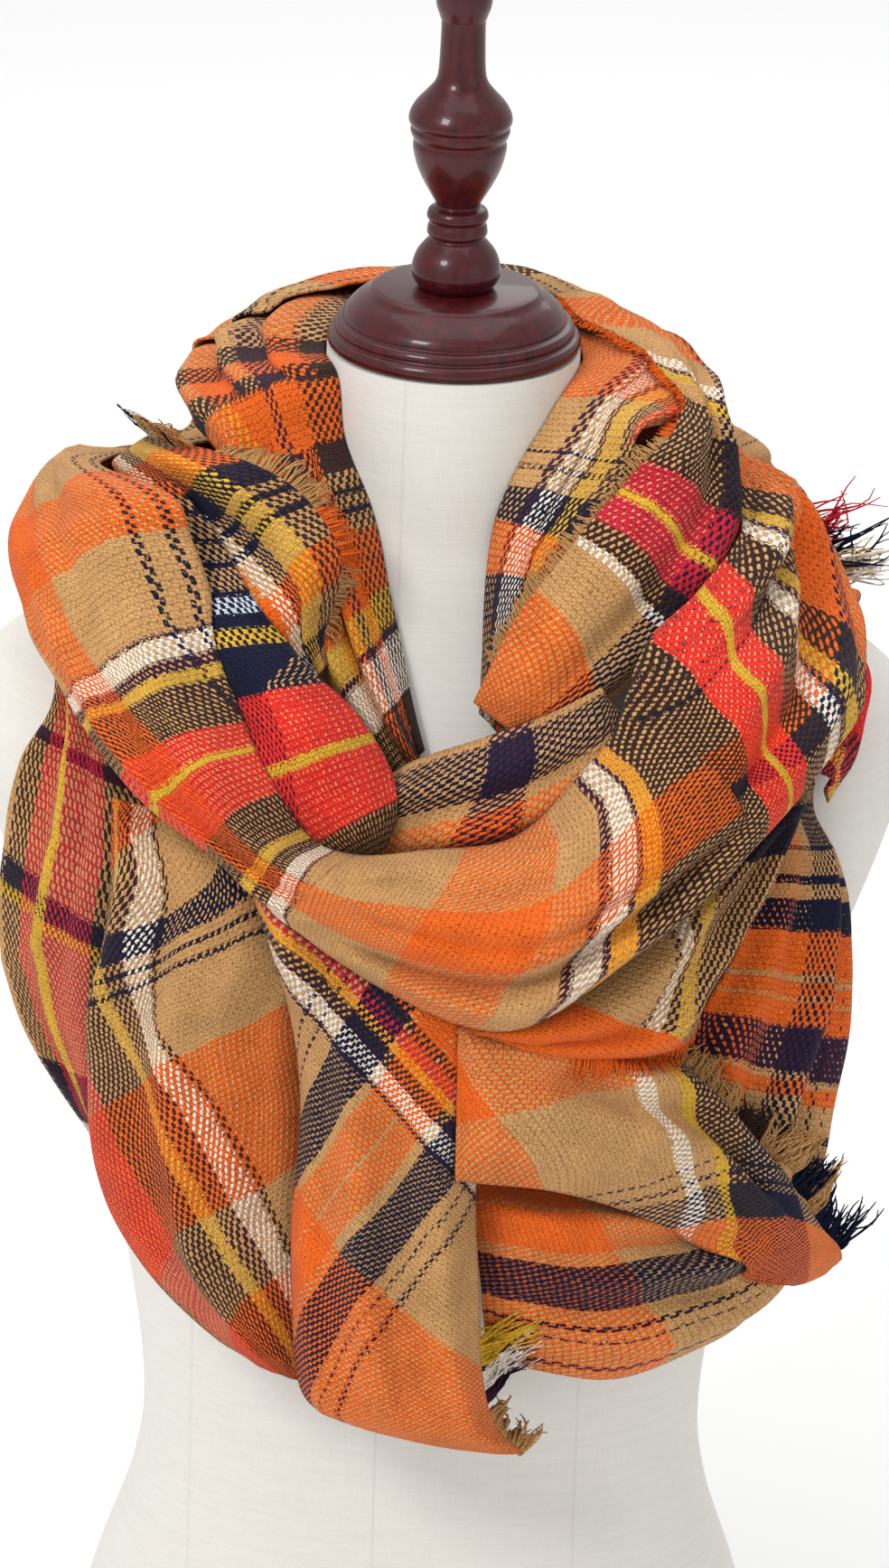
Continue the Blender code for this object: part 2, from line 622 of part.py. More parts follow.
def make_fringe(name, grid, relief, collection, colour, edge, span, strands, length, droop):
    """Strands fused into a narrow strip that lies along one edge of a stretch.

    edge is 0 for the upper edge and 1 for the lower, and span is the share of the edge that is fringed.
    The strip and the strands are one open comb of triangles, worked out past the edge in the cloth's own
    surface, and given a wall.
    """
    stations = np.linspace(span[0], span[1], 2 * strands + 2)
    line = straight_columns(grid[:, -1] if edge else grid[:, 0], stations)
    inner = straight_columns(grid[:, -2] if edge else grid[:, 1], stations)
    along = np.gradient(line, axis=0)
    along /= np.linalg.norm(along, axis=1, keepdims=True)
    outward = line - inner
    outward -= along * (outward * along).sum(axis=1, keepdims=True)
    outward /= np.linalg.norm(outward, axis=1, keepdims=True)
    near, far = line + outward * STRIP_GAP, line + outward * (STRIP_GAP + STRIP_WIDTH)
    points = [point for pair in zip(near, far) for point in pair]
    faces = []
    rng = np.random.default_rng(strands)
    for cell in range(len(stations) - 1):
        a, b, c, d = range(2 * cell, 2 * cell + 4)
        faces += [(a, b, d), (a, d, c)]
        if cell % 2:
            continue
        spread = along[cell] * rng.uniform(-STRAND_SPREAD, STRAND_SPREAD)
        lean = outward[cell] + spread - np.array((0, 0, droop))
        lean *= length * rng.uniform(0.7, 1.15) / np.linalg.norm(lean)
        half = along[cell] * STRAND_WIDTH / 2
        sides = (b, d)
        pieces = 1 if length < SHORT_STRAND else 2
        for piece in range(1, pieces + 1):
            share = piece / pieces
            tip = (far[cell] + far[cell + 1]) / 2 + lean * share
            tip[2] -= droop * length * 0.3 * share**2
            points += [tip - half, tip + half]
            ends = (len(points) - 2, len(points) - 1)
            faces += [(sides[0], ends[0], ends[1]), (sides[0], ends[1], sides[1])]
            sides = ends
    points = lift_strands(np.asarray(points), np.asarray(faces), 2 * len(stations), relief)
    faces = facing_out(points, np.asarray(faces))
    item = make_object(name, points, faces.tolist(), collection, colour, 0.95)
    add_wall(item, STRAND_WALL)
    return item, points, faces


def build():
    clear_scene()
    parts = make_collection(COLLECTION)
    relief = Relief()
    make_form(relief, parts)
    make_turned("neck_cap", CAP_PROFILE, parts)
    make_turned("finial", FINIAL_PROFILE, parts)
    for rows, cells, colours, fringes in RUNS:
        grids = lay_run(rows, cells, relief)
        combs = [
            make_fringe(name, grids[of], relief, parts, colour, *shape)
            for name, of, colour, *shape in fringes
        ]
        for (name, grid), colour in zip(grids.items(), colours):
            make_cloth(name, grid, relief, parts, colour)
        for _, points, faces in combs:
            relief.add(points, faces)
            relief.add(outer_face(points, faces, STRAND_WALL), faces)


build()
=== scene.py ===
# %% [markdown]
# # A blanket scarf on a tabletop dress form
#
# The real thing is a large square of soft checked wool, folded corner to corner and wound round the neck
# and shoulders of a small dress form, which has a turned wooden cap and finial on top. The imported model
# gives the place of everything. This script goes over it in four steps:
#
# 1. the tables of the form, the turned wood and the cloth, in millimetres, as the solids have them;
# 2. fine surfaces over those tables, with thin cloth, soft wrinkles and loose yarn ends;
# 3. woven, turned and sewn finishes made of shader nodes;
# 4. a pale floor, soft light and a camera.
#
# Cloth could also be simulated, but then no fold can be put where it has to be. Tables can do that, and
# they give the same scarf every time.

import math

import bpy
import numpy as np
from mathutils import Matrix, Vector


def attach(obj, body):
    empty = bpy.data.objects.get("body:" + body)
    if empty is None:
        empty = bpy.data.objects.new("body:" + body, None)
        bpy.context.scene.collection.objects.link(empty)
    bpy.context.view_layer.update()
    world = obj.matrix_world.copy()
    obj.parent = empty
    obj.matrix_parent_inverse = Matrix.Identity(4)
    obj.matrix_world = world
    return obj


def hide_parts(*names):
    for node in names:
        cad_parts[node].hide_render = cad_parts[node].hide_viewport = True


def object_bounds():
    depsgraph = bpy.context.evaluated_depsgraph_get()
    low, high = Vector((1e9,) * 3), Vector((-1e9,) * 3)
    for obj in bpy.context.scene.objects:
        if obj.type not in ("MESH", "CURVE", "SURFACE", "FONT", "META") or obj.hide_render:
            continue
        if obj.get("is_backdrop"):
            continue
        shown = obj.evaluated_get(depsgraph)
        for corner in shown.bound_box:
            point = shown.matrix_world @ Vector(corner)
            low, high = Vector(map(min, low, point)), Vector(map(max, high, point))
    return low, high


METRES = 0.001           # one millimetre

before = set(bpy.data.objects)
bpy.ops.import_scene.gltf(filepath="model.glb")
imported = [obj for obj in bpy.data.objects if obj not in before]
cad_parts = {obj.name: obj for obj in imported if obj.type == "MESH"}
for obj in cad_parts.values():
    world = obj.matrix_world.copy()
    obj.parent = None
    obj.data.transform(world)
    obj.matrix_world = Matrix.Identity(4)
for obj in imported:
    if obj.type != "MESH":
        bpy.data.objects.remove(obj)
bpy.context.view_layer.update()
print(len(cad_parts), "nodes in the model")

# %% [markdown]
# ## The shape of the dress form
# The form is linen drawn over a padded shell: hips, waist, bust, shoulders and neck, each an oval that is
# a little squarer than an ellipse. It could be sculpted. A table of ovals with a smooth surface through
# them is used instead, because a few rows of numbers say the whole shape, and each can be corrected on
# its own.

# %% Ovals of the form
NECK_TOP = 663.0
NECK_RADIUS = 55.0
# Height, half width, half depth, shift to the back, squareness of the oval.
FORM_SECTIONS = (
    (0, 166, 116, 6, 2.2),
    (70, 147, 106, 5, 2.2),
    (120, 131, 94, 2, 2.2),
    (165, 126, 88, 0, 2.2),
    (230, 134, 93, -2, 2.2),
    (300, 150, 102, -6, 2.3),
    (360, 168, 112, -9, 2.4),
    (405, 181, 116, -9, 2.5),
    (450, 197, 112, -5, 2.6),
    (485, 206, 101, 0, 2.7),
    (512, 201, 88, 4, 2.6),
    (532, 172, 80, 6, 2.4),
    (552, 130, 73, 6, 2.2),
    (572, 93, 66, 4, 2.1),
    (592, 69, 60, 2, 2.0),
    (618, 58, 57, 0, 2.0),
    (NECK_TOP, NECK_RADIUS, NECK_RADIUS, 0, 2.0),
)
print(f"form: {len(FORM_SECTIONS)} ovals up to {NECK_TOP:.0f} mm")

# %% [markdown]
# ## The shape of the turned wood
# The neck cap and the finial come off a lathe, so every groove is a ring about the axis. They could be
# drawn as a curve and spun with the Screw modifier. The line is a table of radii and heights here, from
# the top down the outer side, because the solids were turned from the same numbers.

# %% Profiles of the cap and the finial
CAP_TOP = 690.0
FINIAL_TOP = 838.0
TOUCH_GAP = 0.3          # air between one turned piece and the next
CAP_PROFILE = (
    (0, CAP_TOP), (34, CAP_TOP), (36.5, 689), (38.5, 687), (43, 684), (47, 680), (48.5, 677),
    (48.6, 675.6), (51.2, 674.6), (52.3, 672.5), (52, 670.6), (54.2, 669.4), (55.2, 667),
    (54.6, 664.6), (53, NECK_TOP + TOUCH_GAP), (0, NECK_TOP + TOUCH_GAP),
)
FINIAL_PROFILE = (
    (0, FINIAL_TOP), (4.5, 837.2), (8.6, 834.6), (11.4, 830), (12.4, 824), (12, 817), (10.2, 811.5),
    (9.6, 809), (9.7, 800), (10.2, 788), (11.5, 782.5), (15, 778), (19.5, 773), (22, 768.5),
    (22.4, 765), (21.2, 763), (21.6, 761), (21, 758.6), (20, 757), (20.3, 753), (18.6, 745.5),
    (15.6, 738.5), (12, 732), (9.6, 727.6), (10.2, 726.4), (12.6, 725), (13.4, 722), (12.3, 719.8),
    (12.9, 717.5), (13.1, 714.5), (11.6, 712.6), (13.6, 710.5), (17.4, 705.5), (19.4, 699),
    (18.8, 694.5), (16.2, CAP_TOP + TOUCH_GAP), (0, CAP_TOP + TOUCH_GAP),
)
for label, profile in (("cap", CAP_PROFILE), ("finial", FINIAL_PROFILE)):
    print(f"{label}: {len(profile)} points, widest radius {max(radius for radius, _ in profile)} mm")

# %% [markdown]
# ## The bands next to the neck
# A wound scarf shows as bands that go round the neck, one over another. Each band is a run of cloth: a
# long grid in which `along` goes down the run and `across` goes from its upper edge to its lower edge. A
# row of a table is one section across the run, with turn, reach and height of the upper edge, the same
# for the lower edge, and the crown, which says how far the section arches out between its edges. Turn is
# the angle about the neck's axis in degrees, 0 in front and positive towards +X, and reach is the
# distance from the axis.
#
# Free curves could do the same. Turn and reach suit cloth that is wound round an axis better: a layer is
# moved outwards by one number.

# %% Runs next to the neck
NECK_WRAP = (
    (-5, 97, 511, -9, 112, 503, 3),
    (-19, 76, 564, -25, 112, 535, 6),
    (-35, 65, 606, -37, 114, 582, 8),
    (-55, 61, 633, -50, 118, 615, 8),
    (-65, 60, 658, -65, 122, 637, 9),
    (-92, 61, 660, -92, 118, 628, 14),
    (-115, 62, 667, -115, 122, 620, 17),
    (-150, 63, 668, -150, 124, 600, 16),
    (-190, 63, 668, -190, 124, 598, 15),
    (-232, 63, 666, -232, 120, 610, 13),
    (-292, 59, 656, -304, 110, 651, 8),
    (-318, 61, 639, -314, 112, 628, 8),
    (-335, 66, 617, -326, 113, 604, 8),
    (-344, 74, 590, -336, 113, 574, 7),
    (-349, 96, 528, -346, 114, 524, 4),
)
CHECK_LAYER = (
    (-82, 134, 625, -90, 152, 602, 5),
    (-57, 126, 635, -78, 135, 594, 8),
    (-43, 121, 634, -64, 126, 583, 10),
    (-34, 112, 620, -49, 123, 572, 10),
    (-26, 112, 601, -37, 130, 563, 9),
    (-28, 115, 570, -32, 126, 550, 6),
    (-27, 118, 553, -28, 122, 542, 3),
)
COLLAR = (
    (-118, 84, 664, -114, 128, 618, 8),
    (-137, 74, 672, -135, 136, 604, 13),
    (-168, 72, 676, -168, 138, 596, 15),
    (-200, 70, 677, -200, 134, 602, 14),
    (-224, 65, 674, -226, 118, 624, 10),
    (-243, 62, 669, -250, 102, 646, 7),
    (-262, 74, 664, -270, 103, 640, 6),
    (-281, 89, 657, -284, 109, 645, 7),
    (-294, 100, 648, -290, 124, 637, 8),
    (-312, 118, 643, -290, 132, 615, 9),
    (-317, 115, 632, -295, 136, 597, 11),
    (-327, 116, 618, -303, 140, 583, 12),
    (-335, 114, 601, -309, 132, 562, 12),
    (-343, 112, 577, -321, 130, 546, 10),
    (-352, 108, 538, -339, 122, 519, 6),
)
UPPER_BAND = (
    (-19, 110, 490, -15, 124, 463, 4),
    (-6, 118, 513, -5, 130, 468, 10),
    (8, 121, 525, 13, 135, 479, 13),
    (19, 130, 537, 25, 141, 497, 12),
    (30, 136, 551, 38, 147, 520, 7),
)
print("sections of the inner runs:", [len(rows) for rows in (NECK_WRAP, CHECK_LAYER, COLLAR, UPPER_BAND)])

# %% [markdown]
# ## The layers that hang
# Below the neck the cloth hangs over the shoulders: a long layer that goes all the way round the back, a
# fall on the left, the tail end of the scarf, the turned-up corner, and two narrow bands that show
# between them. They could be one sheet with deep folds. As separate runs each keeps its own slope and its
# own pattern, and the places where one dives under another are hidden in any case.

# %% Runs that hang
LOWER_LOOP = (
    (-63, 172, 319, -54, 166, 321, 3),
    (-66, 182, 343, -53, 168, 352, 8),
    (-72, 190, 369, -53, 170, 385, 11),
    (-74, 196, 405, -50, 172, 427, 13),
    (-67, 204, 461, -48, 172, 465, 12),
    (-65, 203, 499, -50, 172, 491, 8),
    (-65, 189, 536, -59, 170, 526, 6),
    (-95, 180, 556, -90, 146, 580, 6),
    (-120, 172, 500, -118, 138, 582, 12),
    (-150, 166, 440, -150, 138, 566, 16),
    (-180, 166, 415, -180, 138, 556, 18),
    (-212, 170, 432, -212, 140, 562, 16),
    (-244, 178, 495, -244, 142, 578, 12),
    (-270, 172, 540, -272, 144, 566, 6),
    (-300, 189, 497, -307, 182, 513, 5),
    (-295, 193, 457, -306, 177, 469, 10),
    (-289, 189, 407, -308, 170, 431, 14),
    (-286, 184, 358, -313, 162, 399, 16),
    (-286, 178, 318, -316, 153, 365, 17),
    (-285, 172, 277, -319, 148, 330, 17),
    (-291, 164, 238, -324, 146, 313, 16),
    (-309, 154, 230, -331, 142, 317, 14),
    (-323, 148, 227, -339, 139, 320, 12),
    (-335, 144, 234, -346, 137, 324, 8),
    (-348, 142, 245, -352, 136, 326, 4),
)
LEFT_FALL = (
    (-46, 201, 503, -31, 157, 487, 4),
    (-45, 202, 471, -22, 151, 457, 8),
    (-47, 200, 439, -19, 149, 433, 13),
    (-50, 197, 405, -23, 148, 400, 17),
    (-52, 192, 370, -23, 146, 365, 20),
    (-54, 183, 329, -22, 145, 329, 21),
    (-55, 168, 289, -22, 144, 294, 19),
    (-47, 156, 257, -22, 143, 259, 14),
    (-33, 148, 236, -21, 141, 225, 8),
)
TAIL = (
    (-28, 151, 467, 12, 148, 421, 6),
    (-24, 158, 437, 9, 152, 387, 10),
    (-22, 158, 396, 8, 154, 352, 14),
    (-21, 160, 354, 8, 155, 316, 16),
    (-22, 160, 311, 9, 155, 280, 17),
    (-22, 157, 267, 10, 153, 244, 16),
    (-21, 152, 229, 13, 150, 214, 12),
    (-18, 146, 215, 19, 146, 197, 5),
)
SHOULDER_LAYER = (
    (88, 122, 604, 88, 146, 584, 3),
    (82, 134, 586, 84, 163, 563, 6),
    (75, 146, 560, 80, 174, 547, 9),
    (68, 156, 540, 77, 187, 532, 12),
    (60, 168, 530, 70, 192, 512, 10),
    (54, 182, 512, 62, 194, 492, 5),
)
FLAP = (
    (4, 160, 410, 4, 164, 340, 6),
    (18, 161, 409, 20, 161, 331, 12),
    (30, 166, 395, 33, 164, 317, 14),
    (40, 173, 386, 44, 171, 298, 12),
    (51, 184, 346, 54, 175, 273, 8),
    (65, 185, 301, 64, 177, 256, 5),
    (82, 192, 249, 84, 186, 237, 2),
)
UNDER_BAND = (
    (51, 190, 507, 56, 199, 508, 4),
    (43, 181, 482, 51, 198, 489, 8),
    (35, 175, 460, 46, 191, 454, 11),
    (29, 170, 441, 43, 182, 424, 12),
    (18, 164, 420, 37, 178, 396, 9),
    (5, 159, 408, 16, 166, 398, 4),
)
print("sections of the hanging runs:", [len(rows) for rows in (LOWER_LOOP, LEFT_FALL, TAIL, FLAP)])

# %% [markdown]
# ## The rolls on the outside
# The last turn of the scarf is a fat, loose roll that closes on itself at the back. Its crowns are up to
# twice as high as those of the layers inside it, which is what makes it look round. A tube would be
# simpler, but the real roll is flat where it lies on the shoulders, so it is one more run, with its two
# ends at the same place.

# %% Rolls
INNER_ROLL = (
    (-56, 149, 627, -86, 147, 587, 7),
    (-47, 138, 603, -76, 135, 563, 12),
    (-36, 136, 581, -62, 129, 540, 17),
    (-27, 141, 561, -47, 133, 523, 22),
    (-18, 131, 539, -33, 150, 508, 25),
    (-11, 129, 516, -26, 148, 484, 24),
    (-8, 134, 500, -20, 146, 474, 17),
    (-10, 138, 482, -15, 142, 471, 8),
)
OUTER_LOOP = (
    (-180, 125, 596, -180, 172, 468, 22),
    (-145, 128, 594, -145, 178, 490, 20),
    (-114, 134, 596, -116, 178, 550, 14),
    (-96, 145, 600, -100, 167, 596, 9),
    (-53, 160, 627, -92, 178, 574, 16),
    (-46, 157, 607, -75, 189, 566, 22),
    (-40, 157, 575, -65, 190, 552, 26),
    (-32, 168, 546, -49, 201, 533, 26),
    (-26, 172, 523, -37, 205, 507, 25),
    (-20, 167, 494, -30, 181, 480, 23),
    (-13, 161, 485, -20, 172, 456, 23),
    (-2, 152, 486, -7, 168, 429, 29),
    (13, 152, 492, 11, 171, 413, 34),
    (23, 157, 519, 27, 187, 446, 34),
    (32, 152, 543, 40, 203, 487, 31),
    (36, 156, 578, 49, 211, 520, 27),
    (58, 127, 597, 66, 180, 537, 22),
    (74, 124, 611, 80, 153, 559, 15),
    (94, 115, 623, 96, 137, 582, 9),
    (114, 118, 616, 114, 176, 548, 14),
    (148, 124, 600, 148, 178, 490, 20),
    (180, 125, 596, 180, 172, 468, 22),
)
CLOSED_RUNS = ("outer_loop",)
print("highest crown in mm:", max(row[-1] for row in OUTER_LOOP))

# %% [markdown]
# ## Runs and their stretches
# A run is laid whole and then cut into stretches, one for each node of the model, so that neighbours meet
# without a step. Laying each stretch by itself would leave a gap or a ridge at every cut. The runs are
# listed from the inside out, in the order in which they are laid.

# %% Stretches
# For each run its table, and for each stretch the section where it ends, its cells along in the coarse
# settling, and its length.
RUNS = {
    "neck_wrap": (
        NECK_WRAP, (("neck_left", 4, 11, 175), ("neck_back", 9, 12, 292), ("neck_right", 14, 11, 270)),
    ),
    "check_layer": (CHECK_LAYER, (("check_layer", 6, 11, 174),)),
    "collar": (COLLAR, (("collar_back", 4, 9, 217), ("collar_right", 14, 20, 306))),
    "upper_band": (UPPER_BAND, (("upper_band", 4, 9, 137),)),
    "lower_loop": (
        LOWER_LOOP,
        (("outer_fall", 7, 12, 327), ("lower_back", 14, 16, 649), ("right_fall", 24, 18, 355)),
    ),
    "left_fall": (LEFT_FALL, (("left_fall", 8, 13, 284),)),
    "tail": (TAIL, (("tail", 7, 13, 245),)),
    "flap": (FLAP, (("corner_flap", 6, 12, 280),)),
    "under_band": (UNDER_BAND, (("under_band", 5, 9, 170),)),
    "shoulder_layer": (SHOULDER_LAYER, (("shoulder_layer", 5, 9, 145),)),
    "inner_roll": (INNER_ROLL, (("inner_roll", 7, 13, 212),)),
    "outer_loop": (
        OUTER_LOOP, (
            ("back_swag_left", 2, 8, 193), ("left_roll", 10, 18, 376), ("front_swag", 14, 12, 196),
            ("right_roll", 19, 14, 272), ("back_swag_right", 21, 8, 193),
        ),
    ),
}
# The width to which each stretch is cut.
FLAT_WIDTHS = {
    "neck_left": 67, "neck_back": 103, "neck_right": 86, "check_layer": 76, "collar_back": 114,
    "collar_right": 81, "upper_band": 59, "outer_fall": 94, "lower_back": 155, "right_fall": 131,
    "left_fall": 119, "tail": 118, "corner_flap": 96, "under_band": 70, "shoulder_layer": 51,
    "inner_roll": 91, "back_swag_left": 150, "left_roll": 146, "front_swag": 121, "right_roll": 115,
    "back_swag_right": 150,
}
lengths = [stretch[-1] for _, stretches in RUNS.values() for stretch in stretches]
print(f"{len(RUNS)} runs in {len(lengths)} stretches, {sum(lengths)} mm long together")

# %% [markdown]
# ## Creases
# Wool that is gathered into a band falls into a few deep creases that run along it and die away slowly.
# They could be sculpted by hand. Here each is a row of numbers: where across the stretch it starts and
# ends (0 upper edge, 1 lower edge), its depth, its half width as a share of the stretch's width, and the
# shares of the length where it begins and ends. The solids have the same creases, so the two models
# agree.

# %% Long creases
CREASES = {
    "neck_left": ((0.25, 0.25, 5, 0.08, -0.2, 0.9), (0.62, 0.5, 7, 0.1, -0.2, 1)),
    "neck_back": ((0.25, 0.3, 6, 0.08, -0.2, 0.8), (0.6, 0.5, 7, 0.09, -0.2, 1)),
    "neck_right": ((0.45, 0.55, 4, 0.12, 0, 1),),
    "check_layer": ((0.45, 0.5, 6, 0.12, 0.1, 1),),
    "collar_back": ((0.35, 0.3, 8, 0.1, 0, 1), (0.68, 0.62, 9, 0.09, 0.05, 1)),
    "collar_right": ((0.45, 0.55, 6, 0.11, 0.1, 1),),
    "upper_band": ((0.55, 0.5, 5, 0.14, 0.1, 0.9),),
    "outer_fall": ((0.35, 0.45, 7, 0.12, 0, 1),),
    "lower_back": ((0.3, 0.35, 10, 0.07, 0, 1), (0.62, 0.58, 11, 0.07, 0.05, 1)),
    "right_fall": ((0.3, 0.4, 9, 0.09, 0.05, 1), (0.7, 0.66, 8, 0.09, 0, 0.9)),
    "left_fall": ((0.8, 0.86, 9, 0.1, 0.05, 1), (0.3, 0.42, 6, 0.1, 0, 0.9)),
    "tail": ((0.1, 0.32, 6, 0.1, 0.15, 1), (0.55, 0.7, 6, 0.12, 0.2, 1)),
    "corner_flap": ((0.3, 0.45, 8, 0.1, 0, 0.8),),
    "under_band": ((0.5, 0.55, 6, 0.14, 0.1, 1),),
    "shoulder_layer": ((0.45, 0.5, 6, 0.14, 0, 1),),
    "inner_roll": (),
    "back_swag_left": (
        (0.22, 0.25, 7, 0.07, 0, 1.2), (0.52, 0.5, 10, 0.08, -0.2, 1), (0.78, 0.74, 8, 0.06, -0.2, 0.9),
    ),
    "left_roll": ((0.4, 0.62, 6, 0.13, 0.1, 1.1), (0.75, 0.8, 4, 0.08, 0.3, 1)),
    "front_swag": ((0.8, 0.7, 15, 0.08, 0.05, 1.05), (0.25, 0.38, 5, 0.1, 0, 0.8)),
    "right_roll": ((0.62, 0.5, 10, 0.09, -0.1, 1.1), (0.25, 0.3, 6, 0.08, 0, 0.9)),
    "back_swag_right": (
        (0.25, 0.22, 7, 0.07, -0.2, 1), (0.5, 0.52, 10, 0.08, 0, 1.2), (0.74, 0.78, 8, 0.06, 0.1, 1.2),
    ),
}
print(f"{sum(map(len, CREASES.values()))} long creases")

# %% [markdown]
# ## Wrinkles
# Between the creases lie shorter, finer wrinkles, too fine for the solids. A noise texture could stand in
# for them, but it looks like crumpled paper: a wrinkle in wool has a direction and two soft ends. So
# these are rows with the same columns as the long creases, and a raised fold has a depth below 0.

# %% Fine wrinkles
WRINKLES = {
    "neck_left": (
        (0.1, 0.16, -3.7, 0.045, 0.1, 0.8), (0.42, 0.36, -5.8, 0.05, 0, 0.9),
        (0.8, 0.7, -4.4, 0.04, 0.2, 1.1), (0.9, 0.86, 3.1, 0.03, 0.3, 1),
    ),
    "neck_back": (
        (0.14, 0.18, -4.2, 0.045, -0.2, 0.7), (0.42, 0.4, -5.1, 0.05, 0.1, 1.1),
        (0.78, 0.64, -4.5, 0.045, -0.1, 0.8), (0.88, 0.9, 3.2, 0.03, 0.2, 0.9),
        (0.5, 0.62, 2.6, 0.025, 0.4, 1),
    ),
    "neck_right": (
        (0.2, 0.3, -4.2, 0.05, -0.1, 0.7), (0.3, 0.42, 3.3, 0.035, 0.1, 0.8),
        (0.66, 0.74, -4.5, 0.05, 0.2, 1), (0.84, 0.88, -2.7, 0.035, 0, 0.6),
        (0.56, 0.5, 2.2, 0.025, 0.5, 1.1),
    ),
    "check_layer": (
        (0.22, 0.16, -2.2, 0.05, 0, 0.7), (0.7, 0.78, -2.6, 0.055, 0.3, 1),
        (0.58, 0.64, 1.6, 0.035, 0.2, 0.9),
    ),
    "collar_back": (
        (0.12, 0.16, -2.4, 0.04, 0, 0.8), (0.5, 0.46, -3, 0.045, 0.2, 1.1),
        (0.84, 0.8, -2.2, 0.04, -0.1, 0.7),
    ),
    "collar_right": (
        (0.18, 0.26, -3.6, 0.05, -0.1, 0.6), (0.28, 0.2, 2.5, 0.03, 0.2, 0.8),
        (0.64, 0.72, -4.2, 0.055, 0.1, 0.8), (0.82, 0.74, -2.8, 0.04, 0.45, 1),
        (0.9, 0.94, 2, 0.03, 0, 0.5),
    ),
    "upper_band": ((0.25, 0.35, -2.2, 0.06, 0, 0.8), (0.8, 0.7, -2, 0.06, 0.3, 1)),
    "outer_fall": (
        (0.14, 0.22, -2.6, 0.05, 0, 0.8), (0.52, 0.6, -3.4, 0.06, 0.1, 1),
        (0.66, 0.76, 2.4, 0.04, 0.3, 1), (0.84, 0.9, -2.2, 0.04, 0.4, 1.1),
    ),
    "lower_back": (
        (0.14, 0.18, -3, 0.035, 0, 0.6), (0.44, 0.38, -3.6, 0.04, 0.2, 1),
        (0.52, 0.5, 2.4, 0.025, 0, 0.5), (0.74, 0.8, -3.2, 0.035, 0.1, 0.8),
        (0.88, 0.84, 2, 0.03, 0.4, 1), (0.24, 0.2, 1.8, 0.02, 0.5, 1),
    ),
    "right_fall": (
        (0.16, 0.1, -3.6, 0.045, 0.1, 0.8), (0.46, 0.52, -5, 0.05, 0, 0.8),
        (0.56, 0.6, 2.8, 0.03, 0.2, 0.9), (0.82, 0.86, -3.9, 0.04, 0.3, 1),
        (0.92, 0.94, 2.5, 0.03, 0, 0.6),
    ),
    "left_fall": (
        (0.12, 0.2, -3.6, 0.045, 0, 0.7), (0.48, 0.58, -4.8, 0.05, 0.2, 1),
        (0.6, 0.72, 3, 0.03, 0.3, 0.9), (0.7, 0.66, -3, 0.035, 0, 0.5),
    ),
    "tail": (
        (0.28, 0.52, -3.9, 0.05, 0.1, 0.9), (0.42, 0.6, 2.7, 0.03, 0.3, 1),
        (0.74, 0.86, -3.9, 0.05, 0.2, 0.9), (0.88, 0.94, 2.4, 0.03, 0.4, 1),
    ),
    "corner_flap": (
        (0.14, 0.26, -2.8, 0.06, 0, 0.7), (0.46, 0.6, -3.2, 0.06, 0.1, 0.9),
        (0.62, 0.76, 2.4, 0.04, 0, 0.8), (0.8, 0.9, -2, 0.05, 0.3, 1), (0.06, 0.1, 1.8, 0.04, 0.4, 0.9),
    ),
    "under_band": ((0.25, 0.32, -2.4, 0.07, 0, 0.9), (0.74, 0.8, -2.4, 0.07, 0.1, 1)),
    "shoulder_layer": ((0.2, 0.3, -2.2, 0.06, 0, 0.9), (0.74, 0.7, -2.4, 0.07, 0.2, 1)),
    "inner_roll": (
        (0.22, 0.34, -2.4, 0.05, 0.1, 0.8), (0.5, 0.56, 1.8, 0.035, 0, 0.7),
        (0.72, 0.68, -2.2, 0.05, 0.3, 0.9),
    ),
    "back_swag_left": (
        (0.12, 0.14, -3, 0.03, 0, 1.2), (0.36, 0.38, -3.4, 0.035, -0.2, 0.8),
        (0.64, 0.6, -3.2, 0.035, 0.1, 1.2), (0.9, 0.86, -2.4, 0.03, -0.2, 0.9),
    ),
    "left_roll": (
        (0.14, 0.24, -3.4, 0.045, 0.2, 0.8), (0.26, 0.44, 2.8, 0.03, 0.45, 1.1),
        (0.52, 0.5, -4.2, 0.05, 0, 0.6), (0.6, 0.72, -3.6, 0.04, 0.5, 1.1),
        (0.66, 0.62, 2.5, 0.025, 0.1, 0.5), (0.88, 0.92, -2.5, 0.035, 0.3, 0.9),
    ),
    "front_swag": (
        (0.1, 0.12, -3.3, 0.04, -0.1, 0.9), (0.4, 0.52, -4.2, 0.045, 0, 0.8),
        (0.5, 0.6, 3.3, 0.03, 0.1, 0.9), (0.62, 0.66, -3.6, 0.035, 0.4, 1.1),
        (0.92, 0.9, -3.3, 0.035, 0.1, 1),
    ),
    "right_roll": (
        (0.12, 0.1, -3.1, 0.04, 0.1, 0.9), (0.38, 0.36, -4.5, 0.045, 0, 0.8),
        (0.46, 0.42, 3.1, 0.03, 0.2, 1), (0.78, 0.66, -4.2, 0.045, 0.1, 0.9),
        (0.86, 0.8, 2.8, 0.03, 0.3, 1.1), (0.94, 0.92, -2.2, 0.03, 0, 0.6),
    ),
    "back_swag_right": (
        (0.14, 0.12, -3, 0.03, -0.2, 1), (0.38, 0.36, -3.4, 0.035, 0.2, 1.2),
        (0.6, 0.64, -3.2, 0.035, -0.2, 0.9), (0.86, 0.9, -2.4, 0.03, 0.1, 1.2),
    ),
}
